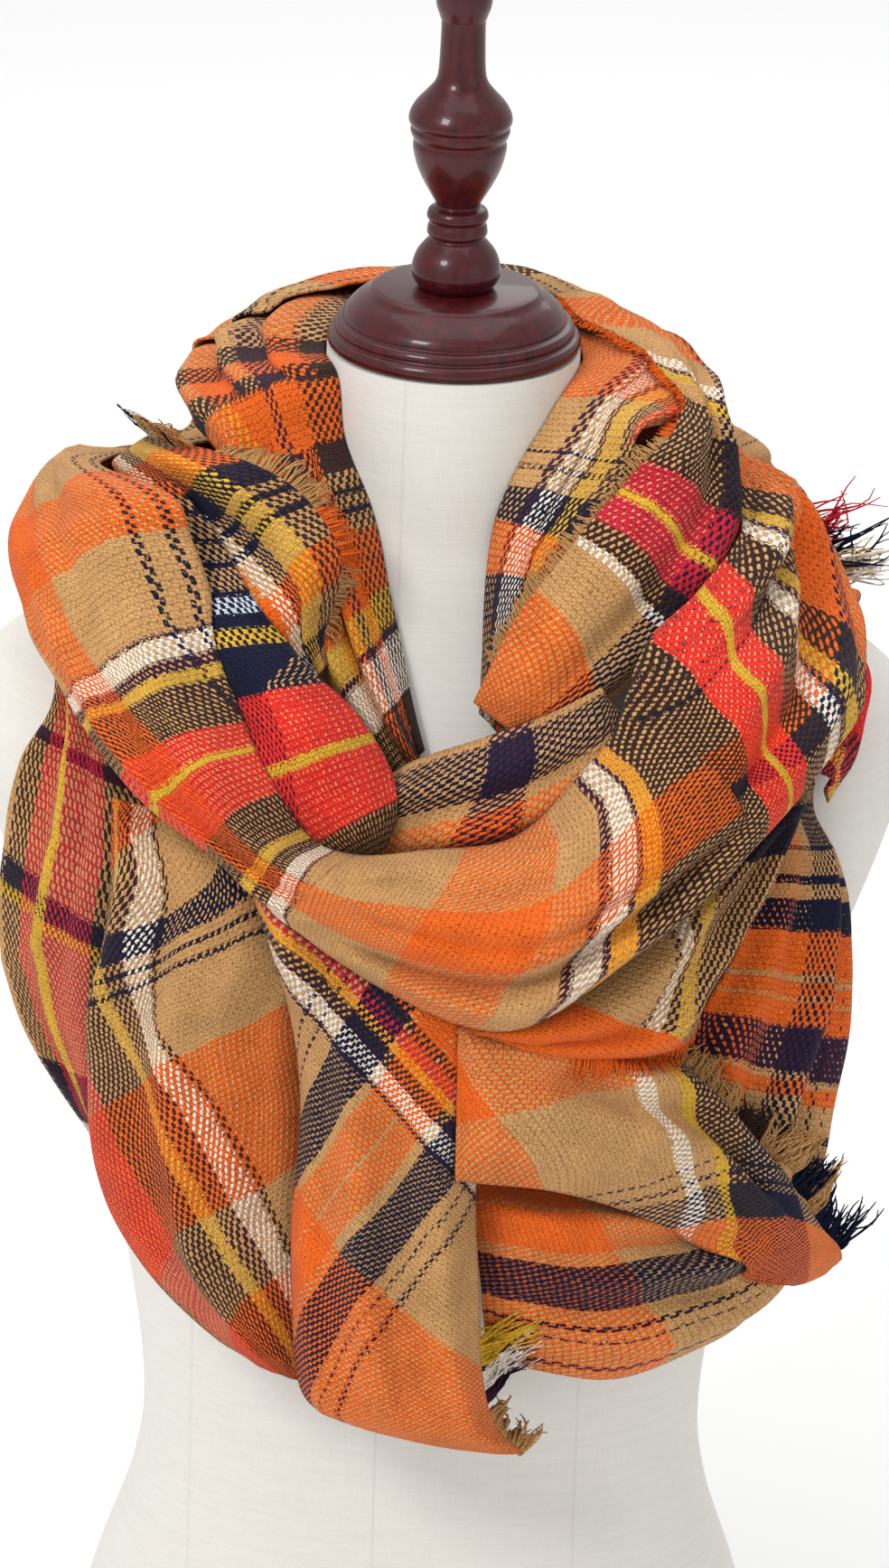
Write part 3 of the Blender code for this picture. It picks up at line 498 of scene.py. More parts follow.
# Wrinkles that run across a stretch: along it at the upper and the lower edge, depth, half width (as shares
# of the length), and the shares of the width where it begins and ends.
CROSS_WRINKLES = {
    "neck_back": ((0.3, 0.36, -1.8, 0.02, 0.1, 0.7), (0.66, 0.6, -1.8, 0.018, 0.3, 0.9)),
    "neck_right": ((0.4, 0.5, -1.6, 0.022, 0.2, 0.8), (0.74, 0.68, 1.4, 0.018, 0, 0.6)),
    "collar_right": ((0.35, 0.3, -1.6, 0.02, 0.1, 0.7),),
    "outer_fall": ((0.35, 0.45, -2, 0.022, 0.1, 0.8), (0.62, 0.56, 1.6, 0.018, 0.4, 1)),
    "lower_back": (
        (0.22, 0.28, -2.4, 0.014, 0.1, 0.8), (0.48, 0.44, -2, 0.012, 0.3, 1),
        (0.74, 0.8, -2.4, 0.014, 0, 0.7),
    ),
    "right_fall": (
        (0.3, 0.24, -2, 0.02, 0.2, 0.9), (0.58, 0.66, -2.2, 0.022, 0, 0.7),
        (0.8, 0.76, 1.6, 0.016, 0.3, 0.9),
    ),
    "left_fall": ((0.4, 0.55, -1.8, 0.024, 0.1, 0.7), (0.72, 0.62, 1.6, 0.02, 0.3, 1)),
    "tail": ((0.35, 0.28, -1.8, 0.024, 0, 0.6), (0.62, 0.72, 1.6, 0.022, 0.3, 1)),
    "corner_flap": ((0.38, 0.3, -1.8, 0.022, 0.2, 0.9), (0.66, 0.74, -1.8, 0.024, 0.1, 0.7)),
    "left_roll": ((0.3, 0.38, -1.8, 0.018, 0.1, 0.6), (0.7, 0.62, -2, 0.02, 0.3, 0.9)),
    "front_swag": ((0.28, 0.4, -1.6, 0.024, 0, 0.5), (0.66, 0.6, 1.4, 0.022, 0.3, 0.8)),
    "right_roll": ((0.34, 0.28, -1.8, 0.02, 0.2, 0.8), (0.68, 0.76, -1.8, 0.022, 0.1, 0.6)),
    "back_swag_left": ((0.5, 0.42, -2, 0.022, 0.1, 0.7),),
    "back_swag_right": ((0.46, 0.56, -2, 0.022, 0.2, 0.9),),
}
print(f"{sum(map(len, WRINKLES.values()))} wrinkles along, {sum(map(len, CROSS_WRINKLES.values()))} across")

# %% [markdown]
# ## Colours of the yarns
# The scarf is woven from eleven dyed yarns. Colours are easiest to mix as the 0 to 255 numbers of a
# screen, but shaders work with linear light, so a small function turns one into the other.

# %% Colours
def srgb(red, green, blue):
    """A colour given in 0 to 255, as the linear values that shaders use."""
    parts = [value / 255.0 for value in (red, green, blue)]
    return tuple(part / 12.92 if part <= 0.04045 else ((part + 0.055) / 1.055) ** 2.4 for part in parts)


COLOURS = {
    "tan": srgb(206, 156, 100),
    "orange": srgb(240, 106, 34),
    "red": srgb(240, 52, 44),
    "crimson": srgb(206, 40, 60),
    "navy": srgb(24, 27, 52),
    "plum": srgb(60, 30, 56),
    "brown": srgb(58, 38, 34),
    "mustard": srgb(224, 176, 52),
    "amber": srgb(244, 158, 34),
    "cream": srgb(246, 234, 218),
    "ice": srgb(205, 214, 230),
    "linen": srgb(226, 223, 216),
    "wood_dark": srgb(28, 5, 8),
    "wood_red": srgb(86, 14, 20),
}
print(f"{len(COLOURS)} colours")

# %% [markdown]
# ## The plaid
# A plaid is two sets of stripes: the warp, which runs along the cloth, and the weft, which crosses it.
# Where two stripes of one colour cross, a solid block shows; elsewhere the two colours mix yarn by yarn.
# An image could be wrapped round the cloth, but it would blur close by and stretch at the folds. Tables
# of bands keep every yarn sharp at any distance, and the colours mix by themselves.
#
# A band is where it starts, its colour, and a weight where it differs from the colour's own. A weight
# says how far yarns of that colour cover the ones that they cross: the heavier of the two shows more.

# %% Warp bands
WEIGHT = 0.5             # of a colour that isn't listed
WEIGHTS = {
    "orange": 0.6, "navy": 0.6, "plum": 0.6, "brown": 0.58, "red": 0.62, "crimson": 0.62, "mustard": 0.59,
    "amber": 0.6, "cream": 0.56, "ice": 0.56,
}
# Warp bands start at shares of the cloth's width. These two are used by several stretches.
SETT_WARP = (
    (-2, "tan"), (-0.62, "orange"), (-0.4, "tan"), (-0.34, "navy"), (-0.18, "tan"), (-0.02, "tan"),
    (0.03, "navy"), (0.05, "tan"), (0.1, "navy"), (0.12, "tan"), (0.17, "navy"), (0.33, "tan"),
    (0.38, "orange"), (0.49, "tan"), (0.505, "orange"), (0.62, "tan"), (0.67, "navy"), (0.83, "tan"),
    (0.88, "navy"), (0.9, "tan"), (0.95, "navy"), (0.97, "tan"),
)
OUTER_WARP = (
    (-2, "tan"), (0.025, "navy"), (0.04, "tan"), (0.1, "navy"), (0.118, "tan"), (0.55, "orange", 0.7),
    (0.87, "tan"),
)
WARPS = {
    "neck_left": (
        (-2, "brown"), (0.16, "orange"), (0.3, "plum"), (0.36, "orange"), (0.6, "amber"), (0.66, "tan"),
        (0.95, "brown"),
    ),
    "neck_back": (
        (-2, "brown"), (0.08, "orange"), (0.2, "plum"), (0.36, "tan"), (0.45, "plum"), (0.5, "orange"),
        (0.72, "tan"), (0.85, "navy"),
    ),
    "neck_right": (
        (-2, "tan"), (0.17, "plum"), (0.23, "cream"), (0.47, "brown"), (0.52, "mustard"), (0.64, "brown"),
        (0.78, "red"), (0.9, "tan"),
    ),
    "check_layer": (
        (-2, "brown"), (0.16, "mustard", 0.6), (0.38, "navy"), (0.54, "cream"), (0.66, "orange"),
        (0.74, "tan"),
    ),
    "collar_back": SETT_WARP,
    "collar_right": ((-2, "tan"), (0.3, "tan"), (0.6, "navy"), (0.9, "tan")),
    "upper_band": (
        (-2, "tan"), (0.06, "navy", 0.64), (0.46, "tan"), (0.6, "orange", 0.62), (0.88, "tan"),
    ),
    "outer_fall": (
        (-2, "tan"), (0.2, "brown"), (0.3, "crimson", 0.64), (0.54, "mustard", 0.8),
        (0.59, "crimson", 0.64), (0.84, "brown"),
    ),
    "lower_back": SETT_WARP,
    "right_fall": (
        (-2, "tan"), (0.05, "navy"), (0.065, "tan"), (0.19, "navy", 0.66), (0.21, "tan"),
        (0.25, "navy", 0.66), (0.27, "tan"), (0.36, "navy", 0.76), (0.6, "tan", 0.56),
        (0.68, "orange", 0.64), (0.885, "tan", 0.6), (0.905, "orange", 0.64),
    ),
    "left_fall": (
        (-2, "brown", 0.64), (-0.75, "crimson", 0.66), (-0.44, "brown", 0.64), (-0.2, "mustard"),
        (-0.14, "brown"), (-0.075, "plum"), (-0.055, "cream"), (0.045, "brown"), (0.075, "tan"),
    ),
    "tail": (
        (-2, "tan"), (0.36, "navy"), (0.375, "tan"), (0.42, "navy"), (0.435, "tan"),
        (0.515, "navy", 0.74), (0.728, "tan"), (0.773, "orange", 0.68), (0.913, "tan"),
        (0.925, "orange", 0.68), (1.064, "tan"), (1.12, "navy", 0.74), (1.32, "tan"), (1.378, "navy"),
        (1.397, "tan"), (1.462, "navy"), (1.484, "tan"),
    ),
    "corner_flap": (
        (-2, "orange"), (0.62, "tan"), (1.265, "navy"), (1.285, "tan"), (1.35, "navy"), (1.375, "tan"),
        (1.42, "navy"), (1.64, "orange", 0.74),
    ),
    "under_band": (
        (-3, "tan"), (-0.43, "plum"), (-0.41, "cream"), (-0.3, "brown"), (-0.24, "mustard"),
        (-0.13, "brown"), (0.6, "navy"),
    ),
    "shoulder_layer": ((-2, "orange"), (0.1, "crimson"), (0.8, "tan")),
    "inner_roll": ((-2, "tan"), (0, "navy"), (0.4, "tan"), (0.8, "navy"), (0.83, "tan")),
    "back_swag_left": OUTER_WARP,
    "left_roll": OUTER_WARP,
    "front_swag": OUTER_WARP,
    "right_roll": (
        (-2, "tan"), (0.025, "navy"), (0.04, "tan"), (0.1, "navy"), (0.118, "tan"), (0.18, "navy"),
        (0.197, "tan"), (0.25, "navy"), (0.267, "tan"), (0.5, "orange", 0.55), (0.7, "navy"),
        (0.8, "tan"),
    ),
    "back_swag_right": OUTER_WARP,
}
print(f"{sum(map(len, WARPS.values()))} warp bands on {len(WARPS)} stretches")

# %% [markdown]
# ## How the weft crosses
# On a worn scarf the stripes don't keep square to the edges: a fold pulls them over. So each run has,
# beside its weft bands, the width of its cloth and a guide of (section, bend, slant). Bend is how far
# across, as a share of the width, the warp has moved at that section. Slant is how many sections further
# on a weft yarn lies at the lower edge than at the upper one. A flat plaid thrown onto the folds from one
# side would slide over them. A guide bends the yarns themselves, so warp and weft stay together.

# %% Weft bands
# For each run: the width of its cloth, the guide, and its weft bands, which start at sections of the run.
PLAIDS = {
    "neck_wrap": (
        90, ((0, 0, 0), (9, 0, 0), (10, 0, -0.5), (14, -0.05, -0.5)), (
            (-4, "brown"), (0.5, "cream"), (0.86, "plum"), (0.96, "mustard"), (1.23, "orange"),
            (1.8, "tan"), (2, "navy"), (2.06, "tan"), (2.2, "navy"), (2.26, "tan"), (2.5, "brown"),
            (2.95, "orange"), (3.9, "brown"), (4.25, "orange", 0.5), (4.7, "brown"), (5.2, "tan"),
            (6.6, "navy"), (7.3, "brown"), (7.9, "mustard"), (8.1, "navy"), (8.6, "brown"), (8.9, "tan"),
            (9.3, "orange"), (10.3, "tan"), (11.25, "navy"), (11.3, "tan"), (11.5, "navy"),
            (11.56, "tan"), (11.85, "navy"), (12.45, "orange"), (13.1, "navy"), (13.4, "brown"),
        ),
    ),
    "check_layer": (
        76, ((0, 0, 0), (6, 0, 0.3)), (
            (-4, "tan"), (0.65, "orange"), (1.5, "navy"), (2.15, "tan"), (2.35, "navy"), (2.5, "tan"),
            (2.75, "navy"), (2.9, "tan"), (3.6, "orange"), (4.3, "tan"), (4.9, "navy"), (5.4, "tan"),
        ),
    ),
    "collar": (
        90, ((0, 0, 0), (4, 0, 0.6), (5, 0, 1), (14, 0, 1)), (
            (-4, "tan"), (0.9, "orange"), (1.7, "tan"), (2.4, "navy"), (2.7, "brown"), (3.2, "tan"),
            (4.2, "orange"), (5.4, "tan"), (6.4, "cream"), (6.7, "plum"), (6.8, "mustard"), (7.1, "tan"),
            (7.6, "brown"), (9.15, "crimson", 0.68), (10.1, "mustard", 0.8), (10.26, "crimson", 0.68),
            (10.85, "brown"), (11.3, "cream"), (11.5, "tan"), (12.5, "orange"),
        ),
    ),
    "upper_band": (
        59, ((0, 0, -1), (4, 0, -1)), (
            (-4, "brown"), (0.1, "plum"), (0.2, "cream"), (0.55, "brown"), (0.7, "tan"),
            (2.2, "plum", 0.5), (2.9, "tan"),
        ),
    ),
    "lower_loop": (
        131, (
            (0, 0, 0), (2, 0, -0.9), (4, 0, -0.9), (5.4, 0, -0.2), (7, 0, 0), (14, 0, 0), (15, 0, 0),
            (19, 0, 0), (24, 0, 0),
        ),
        (
            (-4, "cream"), (0.4, "navy"), (1.4, "tan"), (3.55, "mustard"), (3.68, "navy"), (3.95, "tan"),
            (5.35, "plum", 0.52), (5.5, "tan"), (6.1, "orange"), (7.3, "tan"), (8.1, "orange"),
            (8.9, "tan"), (9.4, "cream"), (9.5, "brown"), (9.58, "mustard"), (9.66, "brown"),
            (9.9, "red"), (10.3, "mustard"), (10.36, "red"), (10.8, "brown"), (11.1, "cream"),
            (11.2, "tan"), (12.2, "orange"), (13, "tan"), (14.75, "navy", 0.7), (14.83, "tan", 0.76),
            (15.13, "navy", 0.8), (15.24, "tan", 0.78), (15.4, "navy", 0.8), (15.8, "orange", 0.82),
            (16.32, "tan", 0.8), (16.38, "orange", 0.82), (16.58, "tan", 0.8), (16.64, "orange", 0.82),
            (16.94, "plum", 0.74), (17.5, "tan", 0.74), (17.6, "orange", 0.74), (17.8, "tan", 0.7),
            (18.2, "navy", 0.7), (18.3, "tan", 0.66), (18.45, "navy", 0.7), (18.55, "tan", 0.64),
            (18.9, "navy", 0.68), (19.35, "tan"), (21.3, "orange", 0.5),
        ),
    ),
    "left_fall": (
        119, (
            (0, 0.21, -2.5), (0.85, 0.25, -2.5), (1.97, 0.235, -2.5), (2.8, 0.34, -2.5),
            (4.2, 0.62, -2.5), (6.05, 0.86, -2.5), (8, 1.07, -2.5),
        ),
        (
            (-4, "orange"), (1, "tan"), (2.3, "navy"), (2.84, "tan"), (3.03, "navy"), (3.13, "tan"),
            (3.33, "navy"), (3.43, "tan"), (5, "orange", 0.6), (7.3, "tan"), (8.6, "orange", 0.56),
        ),
    ),
    "tail": (
        118, ((0, 0, 1.5), (7, -1.372, 1.5)), (
            (-4, "orange"), (-0.1, "brown"), (0.08, "crimson", 0.56), (0.38, "amber"), (0.54, "brown"),
            (0.76, "plum"), (0.84, "cream"), (1.16, "plum"), (1.26, "tan"), (3.5, "orange"),
        ),
    ),
    "flap": (
        96, ((0, 0, 1.13), (6, -1.458, 1.13)), (
            (-4, "orange", 0.5), (-0.2, "tan"), (1.66, "cream"), (1.95, "tan"), (2.3, "mustard", 0.7),
            (2.52, "brown"), (3.3, "navy"), (4.4, "tan"),
        ),
    ),
    "under_band": (
        70, ((0, 0, 0), (5, 1.2, 0)), ((-4, "tan"), (0.4, "navy"), (1.2, "tan"), (3.9, "orange", 0.9)),
    ),
    "shoulder_layer": (
        51, ((0, 0, 0.4), (5, 0, 0.4)), (
            (-4, "cream"), (0.3, "crimson", 0.8), (2.3, "red", 0.75), (3.9, "brown"), (4.4, "mustard"),
            (4.6, "brown"),
        ),
    ),
    "inner_roll": (
        91, ((0, 0, -0.2), (2.8, 0, -0.2), (3.3, 0.24, -0.3), (5.1, 0.68, -0.3), (7, 0.9, -0.3)), (
            (-4, "orange"), (0.3, "tan"), (0.5, "navy"), (0.57, "tan"), (0.9, "navy"), (0.97, "tan"),
            (1.3, "navy"), (1.38, "tan"), (1.75, "navy"), (1.85, "ice"), (2.12, "navy"),
            (2.35, "mustard"), (2.6, "navy"), (3.4, "red", 0.7), (4.4, "mustard", 0.8),
            (4.54, "red", 0.7), (5.85, "brown"),
        ),
    ),
    "outer_loop": (
        125, (
            (0, 0, 0.6), (2, 0, 0.9), (5.9, 0, 1.15), (6.6, -0.05, 0.95), (7.5, -0.16, 0.52),
            (9.5, -0.14, 0.6), (10.2, -0.13, 0.3), (11.2, -0.17, -0.6), (12.4, -0.22, -0.75),
            (13.2, -0.29, -0.7), (13.8, -0.25, -0.8), (14.8, -0.05, -1.3), (16, 0, -1.2), (18, 0, -0.3),
            (21, 0, 0.6),
        ),
        (
            (-4, "tan"), (0.5, "orange"), (1.2, "tan"), (2, "navy"), (2.2, "tan"), (3.55, "orange"),
            (4.65, "tan"), (5.93, "plum"), (6.02, "cream"), (6.25, "plum"), (6.42, "mustard"),
            (6.58, "brown"), (7.22, "red", 0.64), (7.6, "mustard", 0.95), (7.69, "red", 0.64),
            (8.3, "brown"), (8.87, "mustard"), (9.03, "brown"), (9.28, "cream"), (9.52, "plum"),
            (9.58, "tan"), (11.42, "orange", 0.46), (12.45, "tan"), (12.94, "plum"), (13.04, "cream"),
            (13.28, "plum"), (13.33, "amber"), (13.53, "brown"), (14.96, "red", 0.68),
            (15.42, "mustard", 0.9), (15.52, "red", 0.68), (15.78, "brown"), (16.15, "cream"),
            (16.35, "plum"), (16.42, "mustard"), (16.6, "brown"), (17, "orange"), (18, "tan"),
            (19.2, "orange"), (20.1, "tan"),
        ),
    ),
}
print(f"{sum(len(weft) for _, _, weft in PLAIDS.values())} weft bands on {len(PLAIDS)} runs")


# %% Bands of one stretch
EVERYWHERE = 1e9         # a place past the end of any cloth


def bands_in(table, low, high):
    """The bands that show between two places, as (place, colour, weight)."""
    rows = [(start, colour, *weight, WEIGHTS.get(colour, WEIGHT))[:3] for start, colour, *weight in table]
    ends = [row[0] for row in rows[1:]] + [EVERYWHERE]
    return [row for row, end in zip(rows, ends) if end > low and row[0] < high]


def plaid_bands(run, name):
    """A stretch's warp and weft bands, with their places in millimetres of cloth."""
    width, _, weft = PLAIDS[run.name]
    pick = run.slices[name]
    across, along = run.across_cloth[pick], run.along_cloth[pick]
    warp = [(share * width, *rest) for share, *rest in WARPS[name]]
    weft = [(float(run.length_at(row)), *rest) for row, *rest in weft]
    return bands_in(warp, across.min(), across.max()), bands_in(weft, along.min(), along.max())


print("warp bands of the collar's back near its middle:", bands_in(SETT_WARP, 0.4, 0.6))

# %% [markdown]
# ## Smooth curves through tables
# A table has a row every few centimetres, but the cloth needs a point every few millimetres. Straight
# lines between rows would show as facets. A curve that passes smoothly through every row doesn't, and
# unlike a spline with handles it needs nothing but the rows.


# %% Curves
def smooth_columns(rows, samples):
    """Every column of a table read along a curve that passes smoothly through its rows (0 to 1)."""
    table = np.asarray(rows, dtype=float)
    last = len(table) - 1
    where = np.clip(np.asarray(samples, dtype=float), 0.0, 1.0) * last
    low = np.minimum(where.astype(int), last - 1)
    share = (where - low).reshape((-1,) + (1,) * (table.ndim - 1))
    before = table[np.maximum(low - 1, 0)]
    here, after = table[low], table[low + 1]
    beyond = table[np.minimum(low + 2, last)]
    slope_in = (after - before) / 2
    slope_out = (beyond - here) / 2
    return (
        (2 * share**3 - 3 * share**2 + 1) * here
        + (share**3 - 2 * share**2 + share) * slope_in
        + (3 * share**2 - 2 * share**3) * after
        + (share**3 - share**2) * slope_out
    )


def smooth_between(known, values, wanted):
    """Values at wanted places, on a smooth curve through values at unevenly spaced known places."""
    index = np.interp(wanted, known, np.arange(len(known)))
    return smooth_columns(values, index / (len(known) - 1))


def smooth_step(values):
    """0 below 0, 1 above 1, and a soft S between them."""
    values = np.clip(values, 0.0, 1.0)
    return values * values * (3 - 2 * values)


def joined(parts):
    """Arrays of rows put end to end, where each starts with the last row of the one before."""
    return np.concatenate([parts[0]] + [part[1:] for part in parts[1:]])


print("halfway between 0, 10 and 40:", smooth_columns([[0], [10], [40]], [0.25, 0.75]).round(2).tolist())

# %% [markdown]
# ## Rays that climb
# Layers of a scarf are stacked outwards and a little upwards, because the lower ones push the upper ones
# up. So every point also has a launch height: where a ray that climbs at 20 degrees leaves the neck's
# axis to arrive at the point. Moving a point out along its ray keeps turn and launch height and changes
# only reach. Level rays would be simpler, but flat tops of rolls would then be nearly along the rays, and
# hard to stack.


# %% Rays
RAY_RISE = math.tan(math.radians(20.0))


def place(turn, launch, reach):
    """Points from turn, launch height and reach."""
    angle = np.radians(turn)
    return np.stack((reach * np.sin(angle), -reach * np.cos(angle), launch + reach * RAY_RISE), axis=-1)


def locate(points):
    """The turn, launch height and reach of points: the reverse of place."""
    reach = np.hypot(points[..., 0], points[..., 1])
    turn = np.degrees(np.arctan2(points[..., 0], -points[..., 1]))
    return turn, points[..., 2] - reach * RAY_RISE, reach


print("a point 100 mm out in front of launch height 500 mm:", place(0, 500, 100).round(1).tolist())

# %% [markdown]
# ## Grids of points
# Every surface here is a grid of points in rows and columns. Faces could be listed one by one in a loop,
# but numbering them with whole arrays is much faster and no longer to read.


# %% Grids
TINY = 1e-9              # keeps a length from being 0 when it divides


def unit(vectors, least=TINY):
    """The vectors, each scaled to a length of 1."""
    return vectors / np.maximum(np.linalg.norm(vectors, axis=-1, keepdims=True), least)


def grid_quads(rows, columns):
    """One face for each cell of a grid of points."""
    first = (np.arange(rows - 1)[:, None] * columns + np.arange(columns - 1)).ravel()
    return np.stack((first, first + columns, first + columns + 1, first + 1), axis=1)


def grid_triangles(rows, columns):
    """Two triangles for each cell of a grid of points."""
    quads = grid_quads(rows, columns)
    return np.concatenate((quads[:, :3], quads[:, [0, 2, 3]]))


def sample_triangles(values, faces, steps):
    """Values spread evenly over each triangle: an array of triangles by samples by columns."""
    a, b = np.meshgrid(np.arange(steps + 1), np.arange(steps + 1))
    keep = a + b <= steps
    share_b, share_c = a[keep] / steps, b[keep] / steps
    corners = values[faces]
    return (
        corners[:, None, 0] * (1 - share_b - share_c)[:, None]
        + corners[:, None, 1] * share_b[:, None]
        + corners[:, None, 2] * share_c[:, None]
    )


def grid_normals(points):
    """Unit normals of a grid of points, pointing away from the axis for most of the grid."""
    normal = unit(np.cross(np.gradient(points, axis=0), np.gradient(points, axis=1)))
    return normal if (normal * points * (1, 1, 0)).sum() > 0 else -normal


def neighbours(values):
    """The grid itself, and its four copies moved by one cell, with the borders held."""
    edged = np.pad(values, 1, mode="edge")
    return edged[1:-1, 1:-1], edged[:-2, 1:-1], edged[2:, 1:-1], edged[1:-1, :-2], edged[1:-1, 2:]


def blur(values, passes):
    """Each value averaged with its neighbours on the grid."""
    for _ in range(passes):
        middle, *beside = neighbours(values)
        values = (middle * 2 + sum(beside)) / 6
    return values


def widen(values, passes):
    """Each value replaced by the greatest of it and its neighbours on the grid."""
    for _ in range(passes):
        values = np.maximum.reduce(neighbours(values))
    return values


print(f"a grid of 3 by 4 points: {len(grid_quads(3, 4))} quads, {len(grid_triangles(3, 4))} triangles")

# %% [markdown]
# ## What lies underneath
# A layer of cloth rests on whatever was there before it. Blender can find the nearest surface with a ray
# for each point, but hundreds of thousands of rays are slow. A relief map is quick: a grid of turn and
# launch height that keeps how far out the things placed so far reach. Each new surface is sampled into
# it.


# %% Relief
class Relief:
    """How far the pieces placed so far reach, kept on a grid of turn and launch height."""

    LAUNCH_LOW = -60.0
    LAUNCH_HIGH = 740.0

    def __init__(self, turn_step, launch_step):
        self.turn_step = turn_step
        self.launch_step = launch_step
        self.rows = int((self.LAUNCH_HIGH - self.LAUNCH_LOW) / launch_step)
        self.reach = np.zeros((int(360 / turn_step), self.rows))

    def cells(self, turn, launch):
        """The cell of the grid that each point falls into."""
        column = np.floor(turn / self.turn_step).astype(int) % self.reach.shape[0]
        row = np.floor((launch - self.LAUNCH_LOW) / self.launch_step).astype(int)
        return column, np.clip(row, 0, self.rows - 1)

    def add(self, points, faces, steps):
        """Samples a surface into the grid, spread by one cell to all four sides."""
        turn, launch, reach = locate(sample_triangles(points, faces, steps).reshape(-1, 3))
        column, row = self.cells(turn, launch)
        layer = np.zeros_like(self.reach)
        np.maximum.at(layer, (column, row), reach)
        for axis, shift in ((0, 1), (0, -1), (1, 1), (1, -1)):
            layer = np.maximum(layer, np.roll(layer, shift, axis=axis))
        self.reach = np.maximum(self.reach, layer)

    def add_sheet(self, points, wall, steps):
        """Samples a sheet of cloth, given as a grid of points: its inner side and its outer side."""
        faces = grid_triangles(*points.shape[:2])
        self.add(points.reshape(-1, 3), faces, steps)
        self.add((points + grid_normals(points) * wall).reshape(-1, 3), faces, steps)

    def under(self, turn, launch):
        """How far out things reach below each point, 0 where nothing is."""
        column, row = self.cells(turn, launch)
        return self.reach[column, row]


# A coarse map, as the solids were settled on, and one for the fine cloth.
coarse = Relief(1.0, 2.5)
fine = Relief(0.5, 1.25)
print(f"relief maps of {coarse.reach.size} and {fine.reach.size} cells")

# %% [markdown]
# ## The section of a run
# Across a band the cloth bulges between its two edges: steep near them and nearly flat in the middle. A
# half circle is too round for that and a box too square. A power of the distance from the middle lies
# between the two, and one number sets how full the arch is. Creases are then pressed in as bell curves
# that wander from one place to another along the stretch.


# %% Arch and creases
CROWN_POWER = 2.6        # how full the arch of a stretch is
CREASE_FADE = 0.18       # share of a stretch over which a crease starts or dies away


def run_shape(rows, stations, across):
    """Turn, launch height and reach, before settling, at each station along and share across."""
    columns = smooth_columns(rows, stations)
    top_turn, top_reach, top_height, low_turn, low_reach, low_height, crown = columns.T[:, :, None]
    arch = 1.0 - np.abs(2.0 * across - 1.0) ** CROWN_POWER
    turn = top_turn + (low_turn - top_turn) * across
    edge_reach = top_reach + (low_reach - top_reach) * across
    launch = top_height + (low_height - top_height) * across - edge_reach * RAY_RISE
    return turn, launch, edge_reach + crown * arch


def crease_depth(creases, along, across):
    """How deep the creases run at each point of a stretch."""
    depth = np.zeros(np.broadcast(along, across).shape)
    for start, end, deep, half_width, begins, ends in creases:
        centre = start + (end - start) * along
        bell = np.exp(-(((across - centre) / half_width) ** 2))
        fade_in = np.clip((along - begins) / CREASE_FADE, 0, 1)
        fade_out = np.clip((ends - along) / CREASE_FADE, 0, 1)
        depth = depth + deep * bell * (fade_in * fade_out)
    return depth


middle = crease_depth(CREASES["tail"], np.array([[0.5]]), np.linspace(0, 1, 5)[None, :])
print("depth of the tail's creases halfway down, in mm:", middle.round(1)[0].tolist())

# %% [markdown]
# ## Settling
# A run drawn by its table would cut through the layer below it in places. A physics engine would push it
# out by thousands of small steps. Here every triangle of a coarse sheet is sampled, and the sheet is
# moved out where a sample is too close; a few passes with a little smoothing are enough. The fine cloth
# takes over that lift and then only has to clear what its wrinkles and waves have used up.


# %% Settling on what is below
COARSE_GAP = 1.6         # air under the coarse sheet
SETTLE_PASSES = 4
SETTLE_SAMPLES = 7       # steps along a triangle's side
SETTLED = 0.01           # a push too small to go on for
LAYER_GAP = 0.5          # air between one layer and the next
CLEAR_PASSES = 3
CLEARED = 0.02


def settle_coarse(turn, launch, reach, depth, relief):
    """How far each point of a coarse sheet moves out for all of the sheet to clear what lies under it."""
    rows, columns = reach.shape
    faces = grid_triangles(rows, columns)
    lift = np.zeros_like(reach)
    for _ in range(SETTLE_PASSES):
        points = place(turn, launch, reach + lift).reshape(-1, 3)
        samples = sample_triangles(np.column_stack((points, depth.ravel())), faces, SETTLE_SAMPLES)
        at_turn, at_launch, at_reach = locate(samples[..., :3])
        below = relief.under(at_turn, at_launch)
        short = np.where(below > 0, below + COARSE_GAP + samples[..., 3] - at_reach, 0.0).max(axis=1)
        push = np.zeros(rows * columns)
        np.maximum.at(push, faces.ravel(), np.repeat(np.maximum(short, 0.0), 3))
        push = push.reshape(rows, columns)
        if push.max() < SETTLED:
            break
        lift = lift + np.maximum(push, blur(push, 2))
    return lift


def clear_of(turn, launch, reach, relief):
    """The reach of a fine sheet, raised smoothly wherever it would come closer than a layer's gap."""
    for _ in range(CLEAR_PASSES):
        below = relief.under(turn, launch)
        short = np.where(below > 0, np.maximum(below + LAYER_GAP - reach, 0.0), 0.0)
        if short.max() < CLEARED:
            break
        reach = reach + np.maximum(short, blur(widen(short, 2), 4))
    return reach


near = clear_of(np.zeros((3, 3)), np.full((3, 3), 500.0), np.full((3, 3), 10.0), fine)
print("with nothing below it a sheet keeps its reach of", near.mean(), "mm")

# %% [markdown]
# ## Free edges and low waves
# The edge of a soft scarf drops onto what is under it, because nothing holds it up. And no stretch of
# wool is quite even between its wrinkles: it has low waves a few centimetres long. A Wave or Displace
# modifier could make them, but it would move the cloth after it was fitted. Both are worked out before
# the cloth clears the layer below it, so that they can't push it through.


# %% Edges and waves
PRESS_REACH = 16.0       # how far in from a free edge the cloth bends down to the layer below
PRESS_DROP = 7.0         # the most that an edge bends down
PRESS_BLUR = 6
RIPPLE = 0.5             # height of the low waves of a stretch
WAVES = 7
SHORT_WAVE, LONG_WAVE = 26, 80
WAVE_BEND = 0.7          # how far the crest of a wave strays from a straight line
WAVE_BEND_PACE = 0.37    # bends of a crest to each wave


